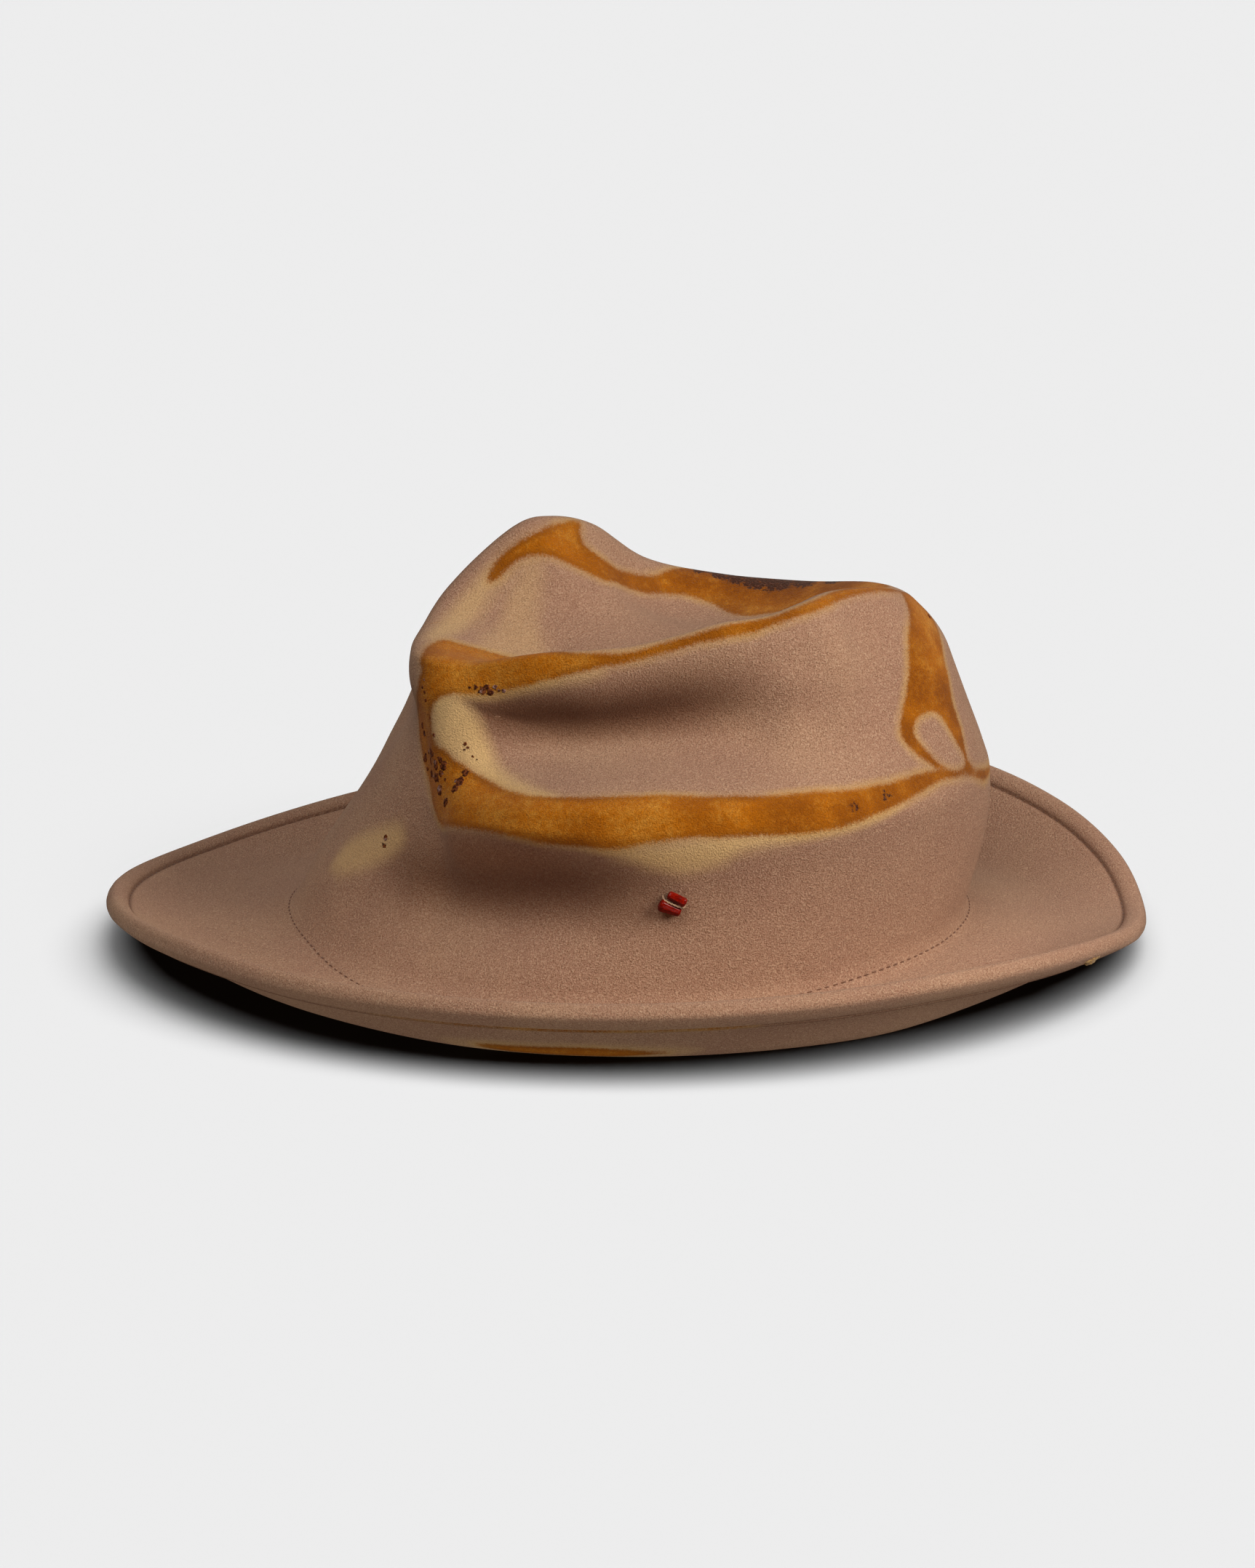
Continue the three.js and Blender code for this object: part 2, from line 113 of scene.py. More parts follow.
MIDDLE = {"reach": 0.12, "height": 0.765, "lean": 0.3, "turn": 128}
CORNER = {"turn": 218, "span": 30}
CORNER_LEAN = {"wall": 3, "waist": 5, "ridge": 12, "crest": 10, "dent": 6, "brow": 1, "lip": 0, "slope": 0}

# Sections of the brim: each stop's height over the resting felt, as a share of the brim's rise
BRIM = table("turn foot tread trough rise rim", [
    (0, 0.3, 0.22, 0.15, 0.21, 0.31), (14, 0.28, 0.21, 0.12, 0.26, 0.49),
    (30, 0.22, 0.15, 0.05, 0.32, 0.71), (48, 0.18, 0.08, -0.05, 0.4, 0.88),
    (70, 0.15, 0.05, -0.08, 0.36, 0.82), (90, 0.14, 0.05, -0.08, 0.3, 0.68),
    (120, 0.16, 0.05, -0.08, 0.15, 0.37), (150, 0.22, 0.14, 0.08, 0.13, 0.24),
    (180, 0.28, 0.21, 0.15, 0.24, 0.47), (200, 0.22, 0.15, 0.08, 0.28, 0.63),
    (215, 0.16, 0.09, 0.04, 0.32, 0.73), (232, 0.11, 0.05, 0, 0.34, 0.72),
    (250, 0.11, 0.05, -0.06, 0.32, 0.73), (270, 0.11, 0.05, -0.08, 0.32, 0.74),
    (290, 0.11, 0.05, -0.08, 0.32, 0.76), (306, 0.13, 0.07, -0.08, 0.33, 0.76),
    (320, 0.18, 0.11, 0, 0.3, 0.7), (334, 0.23, 0.16, 0.05, 0.25, 0.57), (347, 0.28, 0.2, 0.12, 0.22, 0.4),
])
STOP_REACH = {"rim": 1, "rise": 0.74, "trough": 0.5, "tread": 0.22, "foot": 0}

# How far each corner is rounded, as a share of its legs, and the mesh rows round it on both faces
ROUNDING = table("corner share rows rows_below", [
    ("rise", 0.5, 6, 8), ("trough", 0.5, 5, 8), ("tread", 0.5, 5, 2), ("foot", 0.42, 8, 3),
    ("wall", 0.5, 6, 2), ("waist", 0.5, 8, 3), ("ridge", 0.24, 8, 3), ("crest", 0.4, 9, 3),
    ("dent", 0.4, 10, 3), ("brow", 0.42, 9, 2), ("lip", 0.38, 12, 4), ("slope", 0.5, 6, 2),
    ("middle", 0.5, 4, 1),
])
CORNERS = (*STOP_REACH, *FOLDS, "middle", "top")
STATION = {name: place for place, name in enumerate(CORNERS)}
LEG_ROWS = {"rows": 2, "rows_below": 3}
CENTRE_ROWS = 5
COLUMNS = 480
ROLL_ROWS = 8

# The hem's rows, in millimetres in from the rim
HEM_ROWS = (0.4, 0.9, 1.5, 2.1, 2.7, 3.3, 3.9, 4.3, 4.7, 5.1, 5.6, 6.3, 7.3, 8.7, 10.5, 12.5, 15.0)
UNDER_HEM_ROWS = (0.8, 1.8, 3.0, 4.4, 5.8, 7.0, 7.7, 8.3, 8.9, 9.6)

# The hem's swelling over both faces: at the rim, at its highest, and how far in that lies
HEM_SWELL = {"rim": 0.7 * MM, "top": 0.9 * MM, "at": 1.6 * MM}
UNDER_SWELL = {"rim": 0.45 * MM, "top": 0.7 * MM, "at": 3.0 * MM}
HEM_GROOVE = {"at": 4.7 * MM, "depth": 0.5 * MM, "half_width": 0.6 * MM}
# How strongly painted shade darkens the felt along the hem's groove, where the groove's shadow falls
HEM_GROOVE_SHADE = 0.7
UNDER_GROOVE_ROW = 1 + UNDER_HEM_ROWS.index(8.3)
UNDER_GROOVE = {"at": 8.3 * MM, "depth": 0.9 * MM, "half_width": 0.5 * MM}

# The hem's raw edge: how ragged it is, its rounding, where it ends over the felt, how far it is tucked
# in, and the row beside it
RAW_EDGE = {
    "ragged": 0.35 * MM, "rounding": 0.25 * MM, "end": 0.9 * MM, "tuck": 0.15 * MM, "beside": 0.8 * MM,
}

# Marks on the felt are drawn by turn in degrees and by station: the number of the corner that a
# place lies at, counted from the rim, with its share of the way to the next one

# Scorched bands and patches, as closed outlines
SCORCHES = {
    "lower_ridge": [
        (359, 6.9), (361, 7.0), (355, 7.12), (348, 7.4), (340, 7.72), (333, 7.88), (319, 7.93), (306, 7.97),
        (296, 7.99), (285, 8.03), (275, 8.06), (261, 8.05), (252, 8.07), (244, 8.18), (236, 8.36), (231, 8.5),
        (226, 8.7), (221, 8.9), (214, 8.3), (214, 7.9), (218, 7.6), (222, 7.3), (226, 7.14), (239, 7.1),
        (248, 7.01), (259, 6.91), (268, 6.91), (275, 7.08), (287, 7.08), (300, 6.96), (308, 7.0),
        (316.5, 7.15), (327, 7.45), (335, 7.54), (343, 7.38), (351, 6.98),
    ],
    "corner": [
        (226, 8.68), (221.5, 8.92), (219.3, 9.08), (217.4, 9.34), (217, 9.62), (218.9, 9.9), (222, 10.06),
        (222, 10.6), (208.5, 10.8), (210.6, 10.45), (210.4, 10.05), (206, 9.5), (202, 9.1), (204, 8.6),
        (208.5, 8.22), (214, 7.85), (222, 7.5), (230, 7.8),
    ],
    "lip": [
        (207, 10.85), (200, 11.1), (196.5, 11.25), (199.5, 11.42), (204, 11.64), (210, 11.85), (222, 11.8),
        (236, 11.5), (246, 11.15), (254, 10.86), (262, 10.76), (270, 10.72), (280, 10.76), (290, 10.76),
        (300, 10.76), (311, 10.9), (320, 10.9), (330, 10.94), (340, 11.05), (350, 11.15), (361, 11.2),
        (363, 10.95), (355, 10.8), (347, 10.72), (341, 10.76), (334, 10.72), (323, 10.66), (315, 10.65),
        (309, 10.62), (302, 10.52), (295, 10.48), (287, 10.5), (279, 10.5), (265, 10.46), (257, 10.4),
        (249, 10.3), (240, 10.19), (233, 10.08), (228, 10.04), (221, 10.03), (216, 10.0), (210.5, 10.1),
        (210.6, 10.45),
    ],
    "back_corner": [
        (352, 10.85), (346, 10.45), (341, 10.12), (338, 9.78), (335.6, 9.45), (333.3, 9.18), (330.6, 8.94),
        (328.7, 8.74), (328, 8.56), (329.4, 8.34), (331.7, 8.06), (334, 7.82), (341, 7.5), (347, 7.4),
        (344.5, 7.8), (344.6, 8.1), (345.5, 8.4), (345.6, 8.63), (346, 8.94), (348, 9.28), (350, 9.62),
        (355, 9.97), (360, 10.25), (363, 10.7),
    ],
    "hollow": [
        (165, 11.38), (163.5, 11.48), (158, 11.5), (153.6, 11.56), (146, 11.78), (137, 12.02), (124.7, 12.2),
        (109, 12.3), (96, 12.1), (86, 11.94), (80, 11.84), (74, 11.72), (66, 11.62), (60, 11.63),
        (53.5, 11.68), (45.6, 11.79), (38, 11.85), (30, 11.8), (22, 11.6), (14, 11.4), (5, 11.1), (10, 10.85),
        (25, 10.75), (40, 10.7), (58, 10.75), (68, 10.9), (73, 11.12), (78, 11.38), (87, 11.56), (98, 11.78),
        (108.5, 11.76), (113, 11.68), (114.4, 11.52), (112, 11.33), (113, 11.2), (124.8, 11.33),
        (140, 11.38), (150, 11.32), (156, 11.3),
    ],
}

# The bare patch that the scorch at the back corner runs round
BARE_PATCH = [
    (338.3, 8.82), (335.6, 8.82), (333.4, 8.74), (331.8, 8.58), (331.9, 8.4), (334.2, 8.02), (336.6, 7.8),
    (340, 7.68), (342.6, 7.76), (342.6, 8.0), (341.2, 8.3), (339.9, 8.65),
]

# Pale yellow singes, as closed outlines, with their strength
SINGES = {
    "dent_end": {"strength": 1.0, "outline": [
        (217, 9.6), (219.5, 9.12), (225, 8.74), (234, 8.38), (242, 8.22), (250, 8.1), (256, 8.06),
        (248, 8.26), (240, 8.46), (235, 8.68), (231.5, 9.05), (229.5, 9.4), (226.5, 9.74), (223, 9.98),
        (218.5, 9.96),
    ]},
    "dent_top": {"strength": 0.6, "outline": [
        (222, 9.97), (228, 9.93), (238, 10), (250, 10.14), (262, 10.28), (262, 10.5), (250, 10.4),
        (238, 10.25), (228, 10.15), (221, 10.1),
    ]},
    "under_ridge": {"strength": 1.0, "outline": [
        (256, 6.98), (266, 6.85), (273, 6.68), (279, 6.56), (285, 6.64), (290, 6.82), (300, 6.88),
        (312, 6.98), (321, 7.3), (316, 7.3), (306, 7.08), (288, 7.12), (275, 6.98), (266, 6.92),
    ]},
    "front_wall": {"strength": 0.75, "outline": [
        (192, 5.15), (193, 5.6), (200, 6.1), (208, 6.55), (212, 6.45), (209, 6.05), (204, 5.6),
        (198, 5.2),
    ]},
    "front_lip": {"strength": 0.6, "outline": [
        (195, 11.05), (181, 11.14), (169, 11.24), (160, 11.3), (160, 11.46), (170, 11.52), (181, 11.5),
        (193, 11.36),
    ]},
    "hollow_streak": {"strength": 0.36, "outline": [
        (150, 11.62), (154, 11.95), (175, 12.2), (215, 12.25), (212, 11.7), (198, 11.6), (182, 11.75),
        (166, 11.7),
    ]},
}

# Deep brown patches of the scorched bands: turn, station, radius in millimetres and strength
BROWNS = table("turn station radius share", [
    (216, 8.6, 7, 0.45), (222, 7.75, 9, 0.1), (236, 7.35, 8, 0.25), (248, 7.9, 6, 0.3),
    (262, 7.2, 7, 0.45), (282, 7.85, 7, 0.5), (284, 7.2, 7, 0.55), (298, 7.5, 11, 0.8),
    (309, 7.35, 8, 0.75), (318, 7.6, 8, 0.8), (328, 7.75, 8, 0.9), (340, 7.5, 9, 1), (350, 7.1, 9, 1),
    (340, 10, 10, 0.75), (345, 10.5, 9, 0.6), (337, 9.3, 8, 0.9), (343, 9.1, 7, 0.9), (345, 8.7, 6, 0.9),
    (329.5, 8.6, 6, 1), (332, 8.1, 5, 1), (344, 8.1, 5, 0.95), (351, 9.9, 4, 0.5), (24, 11.1, 10, 0.95),
    (38, 11.2, 12, 1), (52, 11.2, 12, 1), (66, 11.2, 10, 0.9), (48, 11.6, 8, 0.8), (80, 11.7, 6, 0.7),
    (96, 11.95, 7, 0.75), (310, 10.8, 9, 0.75), (290, 10.7, 9, 0.7), (270, 10.6, 8, 0.4),
    (205, 10.9, 8, 0.6), (213, 10.4, 7, 0.3), (161, 11.42, 7, 0.75), (112, 11.9, 7, 0.4),
])

# Large burns: turn, station, radius in millimetres, and how much of the felt there is charred
BURNS = table("turn station radius share", [
    (206, 6.17, 2.2, 0.7), (309.8, 7.48, 3.2, 0.7), (318, 7.6, 3, 0.6), (20, 10.9, 4, 0.7),
    (28, 10.96, 5, 0.95), (36, 11.02, 6.5, 1), (42, 11.14, 7, 1), (48, 11.12, 7, 1), (54, 11.06, 6.5, 1),
    (60, 11, 5.5, 0.95), (66, 10.96, 4.5, 0.85),
])

# Crusts of charred felt: turn, station, and their size across in millimetres
CRUSTS = table("turn station across", [
    (207.6, 8.9, 1.5), (208.9, 8.76, 1.6), (210.8, 8.21, 2), (217.8, 8.69, 2.7), (222.2, 8.67, 1.9),
    (223.8, 8.55, 2.7), (220.6, 8.53, 2), (216, 8.4, 1.6), (216.4, 8.14, 2.1), (221.6, 8.29, 2.8),
    (223.4, 8.4, 1.6), (224, 8.06, 2.4), (227.8, 7.8, 2.5), (230.6, 8.42, 1.9), (230.3, 8.25, 2.6),
    (229.8, 8.11, 2.4), (219, 8.2, 0.9), (225.4, 8.3, 0.8), (213.4, 8.5, 1), (213, 8.05, 1.1),
    (212.6, 10.06, 0.8), (213.8, 9.96, 0.8), (214.4, 9.78, 0.7), (216.6, 9.44, 0.6), (212.8, 10.25, 0.5),
    (219.2, 9.14, 0.9), (227.1, 10.2, 1.2), (229, 10.12, 1.8), (229.9, 10.21, 1.6), (231.1, 10.09, 1.7),
    (232.2, 10.2, 1.1), (233.4, 10.12, 0.7), (234.7, 10.11, 1), (225.6, 10.18, 0.7), (227.7, 8.95, 0.9),
    (228.5, 8.87, 0.7), (228, 8.84, 0.6), (230.3, 8.71, 0.6), (231.4, 8.66, 0.4), (356.4, 10.27, 1.3),
    (205.7, 6.23, 1.5), (206.5, 6.12, 1.1),
])

# A crust's rings: reach as a share of its size across, and lift off the felt in millimetres. Then its
# middle's lift, how ragged it is and how often it waves, and the step in stations that measures the felt
CRUST_RINGS = ((0.66, -0.15), (0.58, 0.16), (0.3, 0.26))
CRUST_MIDDLE = 0.12 * MM
CRUST_RAGGED = 0.75
CRUST_WAVES = 1.3
CRUST_STEP = 0.1

# Folds darkened with painted shade: the shadow in the valley under the lip and in the hollow under the ridge,
# painted into the felt's colour
PAINTED_SHADE_FOLDS = table("half_width share line", [
    (9.5, 0.88, [(220, 9.9), (226, 9.84), (231, 9.68), (240, 9.56), (256, 9.5), (270, 9.47),
     (283, 9.43), (296, 9.4), (306, 9.4)]),
    (10, 0.72, [(206, 6.2), (215, 6.24), (223, 6.3), (232, 6.22), (244, 6.22), (255, 6.28), (268, 6.4),
     (280, 6.5)]),
])

# The dried amber drip that hangs from the hem: its turn, how far in from the rim and how deep in the
# felt it sits, and half its size along, out and down
DRIP = {"turn": 331, "in": 0.0022, "sunk": 0.0001, "half": (0.0044, 0.0022, 0.0017)}

# The noise that makes the drip lumpy: how strong and how often, for large and small lumps
DRIP_LARGE = {"share": 0.35, "often": 1.9}
DRIP_SMALL = {"share": 0.12, "often": 5}

# Marks on the under face: the scorch under the near brim and the singed line along the hem's raw edge
UNDER_SCORCHES = {
    "near": [
        (251, 1.98), (256, 1.86), (262, 1.8), (267, 1.82), (272, 1.9), (275, 2.02), (268, 2.25),
        (256, 2.25),
    ],
    "hem_line": [
        (243, 0.32), (256, 0.3), (268, 0.3), (282, 0.32), (282, 0.36), (268, 0.38), (256, 0.38),
        (243, 0.35),
    ],
}

UNDER_SINGES = {
    "near": {"strength": 0.4, "outline": [
        (247, 1.92), (255, 1.74), (263, 1.66), (271, 1.72), (279, 1.92), (274, 2.35), (262, 2.4),
        (250, 2.35),
    ]},
}

# Soft folds pressed into the felt or raised on it: the line, half the width and the height, in
# millimetres, where less than nothing is a fold pressed in
CREASES = table("half_width height line", [
    (9.5, -1.1, [(222, 9.8), (228, 9.7), (234, 9.5), (245, 9.36), (258, 9.32), (272, 9.38), (286, 9.4),
     (300, 9.4)]),
    (1.7, -0.7, [(223.6, 9.86), (226.8, 9.74), (230, 9.57), (234, 9.47), (239, 9.36), (246, 9.3)]),
    (1.2, -0.5, [(80, 11.15), (77, 11.4), (72, 11.6)]),
    (7, 1.3, [(306, 8.6), (309, 9.2), (312, 9.9)]),
    (6, -1.2, [(320, 8.5), (323, 9.2), (326, 9.9), (330, 10.5)]),
    (9, -0.8, [(205, 4.6), (212, 5.4), (220, 5.9)]),
    (8, 0.6, [(300, 4.4), (304, 5.2), (302, 6.2)]),
])

# The seam sewn round the foot of the crown
FOOT_GROOVE = {"depth": 0.38 * MM, "half_width": 0.8 * MM}
FOOT_SEAM = table("turn station", [
    (0, 3.82), (60, 3.9), (120, 3.9), (180, 3.88), (204, 3.86), (218, 3.62), (232, 3.35), (255, 3.35),
    (278, 3.6), (294, 3.88), (310, 4.03), (325, 4), (345, 3.88),
])

# Stitches: length, width and pitch along the seam, in metres
FOOT_STITCH = {"length": 0.0021, "width": 0.0005, "pitch": 0.0031}
HEM_STITCH = {"length": 0.0024, "width": 0.0004, "pitch": 0.0036}
UNDER_STITCH = {"length": 0.0022, "width": 0.00038, "pitch": 0.0036}

# How far a stitch strays along its seam, as a share of the pitch, how high its middle stands over its
# sunken ends, as shares of its width, and how wide its ends are, as a share of its middle
STITCH_SWING = 0.12
STITCH_BOW = 0.55
STITCH_SUNK = 0.3
STITCH_TIP = 0.35

# The beads' seat on the near wall, as the part has it, and the sizes of both beads, in metres
SEAT = {"turn": 278, "height": 0.29, "drop": 25}
BEADS = [
    {"name": "bead_upper", "length": 0.0061, "width": 0.003, "thickness": 0.003, "way": 1, "sides": 6,
     "taper": 0.06, "turned": 8, "shift": 0.0004},
    {"name": "bead_lower", "length": 0.007, "width": 0.0039, "thickness": 0.0034, "way": -1, "sides": 8,
     "taper": -0.16, "turned": -4, "shift": -0.0003},
]
BEAD_GAP = 0.0003
BEAD_HOLE = 0.00055

# How round a bead's edges are, as a share of its width, and how strong its facets and unevenness are
BEAD_EDGE = 0.28
BEAD_FACET = 0.75
BEAD_UNEVEN = 0.05

# The thread over the beads: the space it keeps between them, half its plies' width, its reach to either
# side, the length of one twist, and how high it lies over the upper bead's thickness
THREAD_SPACE = 0.0004
THREAD_PLY = 0.00017
THREAD_REACH = 0.00375
THREAD_TWIST = 0.0021
THREAD_TOP = 0.93

# How far inside a scorch plain felt counts as lying, and how wide a singe's soft edge is
NO_SCORCH = -0.03
SINGE_EDGE = 5 * MM

# Spots act fully up to the first share of their radius and end at the second one
SPOT_FULL = 0.5
SPOT_END = 4 / 3

# The marks of both faces
UPPER_MARKS = {
    "scorches": SCORCHES, "bare": [BARE_PATCH], "singes": SINGES, "burns": BURNS, "browns": BROWNS,
}
UNDER_MARKS = {
    "scorches": UNDER_SCORCHES, "bare": [], "singes": UNDER_SINGES, "burns": [], "browns": [],
}

# Uneven swelling of the felt: size of the lumps and their height
LUMPS = ({"size": 0.045, "height": 0.55 * MM}, {"size": 0.016, "height": 0.16 * MM})

# Creases and lumps fade over this many stations before the middle of the top and after the rim
FADE_TO_TOP = 1.5
FADE_FROM_RIM = 0.6

# The station where the crown's even rows take over from the hem's own rows
AFTER_HEM = 1.5

# Disc lamps that look at the middle of the floor: the key, which lights the hat's right more than its
# left, and a small one whose reflection is the glint on the beads
DISC_LAMPS = table("name place across power tint on", [
    ("key", (0.485, -0.385, 0.38), 0.4, 3.85, (1.0, 0.985, 0.965), "hat"),
    ("glint", (0.34, -0.4, 0.46), 0.05, 1.1, (1.0, 1.0, 1.0), "beads"),
])

# Far lamps: azimuth in degrees from the hat's back (+X) towards its far side, elevation, spread, the
# light's strength and tint, and what it falls on
FAR_LAMPS = table("name azimuth elevation spread power tint on", [
    ("sky", 90, 32, 80, 0.42, (0.95, 0.97, 1.0), "hat"),
    ("left_fill", 243, 54, 46, 1.5, (0.97, 0.98, 1.0), "hat"),
    ("bounce", 266, -52, 28, 0.95, (1.0, 0.985, 0.96), "hat"),
    ("table_right", 322, 62, 58, 97.0, (1.0, 1.0, 1.0), "floor"),
    ("table_left", 246, 74, 60, 49.0, (1.0, 1.0, 1.0), "floor"),
])
LAMP_DISTANCE = 2.0
WORLD_LIGHT = 0.03

# The camera looks along +Y, a little down, at a point over the brim's middle
CAMERA = {"distance": 1.8, "elevation": 16.5, "look_at": (0.0, 0.0, 0.0505), "lens": 130.74, "sensor": 36.0}


def smooth_column(rows, turns, read):
    """A smooth closed curve through the rows, read at any turns."""
    keys = np.array([row["turn"] for row in rows], float)
    keys = np.concatenate([keys - 360, keys, keys + 360])
    values = np.tile([float(read(row)) for row in rows], 3)
    steps = np.diff(keys)
    rates = np.diff(values) / steps
    slopes = np.zeros_like(values)
    slopes[1:-1] = (rates[:-1] * steps[1:] + rates[1:] * steps[:-1]) / (steps[1:] + steps[:-1])
    at = np.mod(turns, 360)
    i = np.searchsorted(keys, at, side="right") - 1
    t = (at - keys[i]) / steps[i]
    start = (2 * t**3 - 3 * t**2 + 1) * values[i] + (t**3 - 2 * t**2 + t) * steps[i] * slopes[i]
    return start + (3 * t**2 - 2 * t**3) * values[i + 1] + (t**3 - t**2) * steps[i] * slopes[i + 1]


def apart(turn, other):
    """How far one turn lies from another, the short way round."""
    return np.mod(turn - other + 180, 360) - 180


def oval(length, width, turns, height):
    """Points at the turns on an oval of half this length and width."""
    angles = np.radians(turns)
    flat = np.broadcast_to(height, angles.shape)
    return np.stack([length * np.cos(angles), width * np.sin(angles), flat], -1)


def upper_corners(turns):
    """The named corners of the felt's upper face at each turn, from the rim to the middle of the top."""
    half_length = HEAD_LENGTH / 2
    half_width = HEAD_WIDTH / 2
    spare_length = BRIM_LENGTH / 2 - FELT - half_length
    spare_width = BRIM_WIDTH / 2 - FELT - half_width
    corners = []
    for name, share in STOP_REACH.items():
        height = FELT + BRIM_RISE * smooth_column(BRIM, turns, lambda row: row[name])
        length = half_length + spare_length * share
        corners.append(oval(length, half_width + spare_width * share, turns, height))
    away = apart(turns, CORNER["turn"])
    for name, lean in CORNER_LEAN.items():
        at = turns - lean * np.exp(-0.5 * (away / CORNER["span"]) ** 2)
        reach = smooth_column(CROWN, at, lambda row: row[name][0])
        height = smooth_column(CROWN, at, lambda row: row[name][1]) * CROWN_HEIGHT
        corners.append(oval(half_length * reach, half_width * reach, turns, height))
    towards = np.radians(turns - MIDDLE["turn"])
    height = (MIDDLE["height"] + MIDDLE["lean"] * MIDDLE["reach"] * np.cos(towards)) * CROWN_HEIGHT
    corners.append(oval(half_length * MIDDLE["reach"], half_width * MIDDLE["reach"], turns, height))
    corners.append(oval(0, 0, turns, MIDDLE["height"] * CROWN_HEIGHT))
    return np.stack(corners, 1)


def unit(vectors):
    """The vectors at length one."""
    return vectors / np.linalg.norm(vectors, axis=-1, keepdims=True)


def leg_normals(corners, turns):
    """The upward unit normal of each straight leg between two corners."""
    angles = np.radians(turns)
    nothing = np.zeros_like(angles)
    round_way = np.stack([-HEAD_LENGTH * np.sin(angles), HEAD_WIDTH * np.cos(angles), nothing], -1)
    return unit(np.cross(round_way[:, None], np.diff(corners, axis=1)))


def corners_below(corners, turns, thickness):
    """The same corners on the felt's under face, each leg moved down its own normal."""
    normals = leg_normals(corners, turns)
    before = np.concatenate([normals[:, :1], normals], 1)
    after = np.concatenate([normals, normals[:, -1:]], 1)
    mitre = (before + after) / (1 + np.sum(before * after, -1, keepdims=True))
    mitre[:, -1] = (0, 0, 1)
    return corners - thickness * mitre


def rounded_sections(corners, rows_key):
    """Sections with rounded corners: points by row and turn, and the station of each row."""
    rows = [corners[:, 0]]
    stations = [0.0]
    for i, rounding in enumerate(ROUNDING, 1):
        share = rounding["share"]
        count = rounding[rows_key]
        start = corners[:, i] + share * (corners[:, i - 1] - corners[:, i])
        end = corners[:, i] + share * (corners[:, i + 1] - corners[:, i])
        add_leg(rows, stations, start, i - share, LEG_ROWS[rows_key])
        for step in range(1, count + 1):
            t = step / count
            rows.append(start * (1 - t) ** 2 + 2 * corners[:, i] * t * (1 - t) + end * t**2)
            stations.append(i - share + 2 * share * t)
    add_leg(rows, stations, corners[:, -1], len(CORNERS) - 1.0, CENTRE_ROWS)
    return np.stack(rows), np.array(stations)


def add_leg(rows, stations, end, station, count):
    """Add evenly spaced rows from the last row to the end of a straight leg."""
    start = rows[-1]
    from_station = stations[-1]
    if station - from_station < 1e-6:
        return
    for step in range(1, count + 1):
        t = step / count
        rows.append(start * (1 - t) + end * t)
        stations.append(from_station + (station - from_station) * t)


def lengths_along(points):
    """The length from the start to each point along one path or several side by side."""
    steps = np.linalg.norm(np.diff(points, axis=0), axis=-1)
    return np.concatenate([np.zeros_like(steps[:1]), np.cumsum(steps, 0)])


def read_at(at, known, vectors):
    """Vectors between those known, read at one length or station or at several."""
    return np.stack([np.interp(at, known, vectors[:, axis]) for axis in range(3)], -1)


def hem_rows(rows, stations, distances):
    """Rows at set distances in from the rim, with the station of each at each turn."""
    lengths = lengths_along(rows)
    placed = np.zeros((len(distances), *rows.shape[1:]))
    placed_stations = np.zeros((len(distances), rows.shape[1]))
    for column in range(rows.shape[1]):
        known = lengths[:, column]
        placed_stations[:, column] = np.interp(distances, known, stations)
        placed[:, column] = read_at(distances, known, rows[:, column])
    return placed, placed_stations


def surface_normals(rows):
    """Upward unit normals of a surface given by rows round the hat, from the rim inwards."""
    round_way = np.roll(rows, -1, 1) - np.roll(rows, 1, 1)
    return unit(np.cross(round_way, np.gradient(rows, axis=0)))


def about(points, turns, stations, metric):
    """Points as x and y about each place, in metres.

    The metric holds, for each place, the lengths of one degree and one station and how they lean."""
    across, lean, along = metric
    shift = apart(points[:, 0], turns[:, None])
    lift = points[:, 1] - stations[:, None]
    return across[:, None] * shift + lean[:, None] * lift, along[:, None] * lift


def inside_distance(outline, turns, stations, metric):
    """How far each place lies inside a closed outline, in metres, less than nothing outside it."""
    x, y = about(smooth_outline(outline), turns, stations, metric)
    y_next = np.roll(y, -1, 1)
    dx = np.roll(x, -1, 1) - x
    dy = y_next - y
    t = np.clip(-(x * dx + y * dy) / np.maximum(dx**2 + dy**2, 1e-12), 0, 1)
    nearest = np.sqrt(np.min((x + t * dx) ** 2 + (y + t * dy) ** 2, axis=1))
    crosses = (y > 0) != (y_next > 0)
    meets = x + dx * np.where(crosses, -y / np.where(dy == 0, 1e-12, dy), 0) > 0
    inside = np.sum(crosses & meets, axis=1) % 2 == 1
    return np.where(inside, nearest, -nearest)


def smooth_outline(outline, steps=4):
    """A closed outline with a smooth curve through its points."""
    start = np.array(outline, float)
    before, end, after = (np.roll(start, -k, 0) for k in (-1, 1, 2))
    t = (np.arange(steps) / steps)[:, None, None]
    curve = 0.5 * (2 * start + (end - before) * t
                   + (2 * before - 5 * start + 4 * end - after) * t**2
                   + (3 * start - before - 3 * end + after) * t**3)
    return curve.transpose(1, 0, 2).reshape(-1, 2)


def place_metric(rows, stations):
    """Lengths of one degree and of one station at each place, and how they lean."""
    per_degree = (np.roll(rows, -1, 1) - np.roll(rows, 1, 1)) / (2 * 360 / COLUMNS)
    run = np.gradient(stations, axis=0)
    per_station = np.gradient(rows, axis=0) / np.maximum(run, 1e-9)[..., None]
    across = np.maximum(np.linalg.norm(per_degree, axis=-1), 1e-6)
    lean = np.sum(per_degree * per_station, -1) / across
    along = np.sqrt(np.maximum(np.sum(per_station**2, -1) - lean**2, 1e-10))
    return across, lean, along


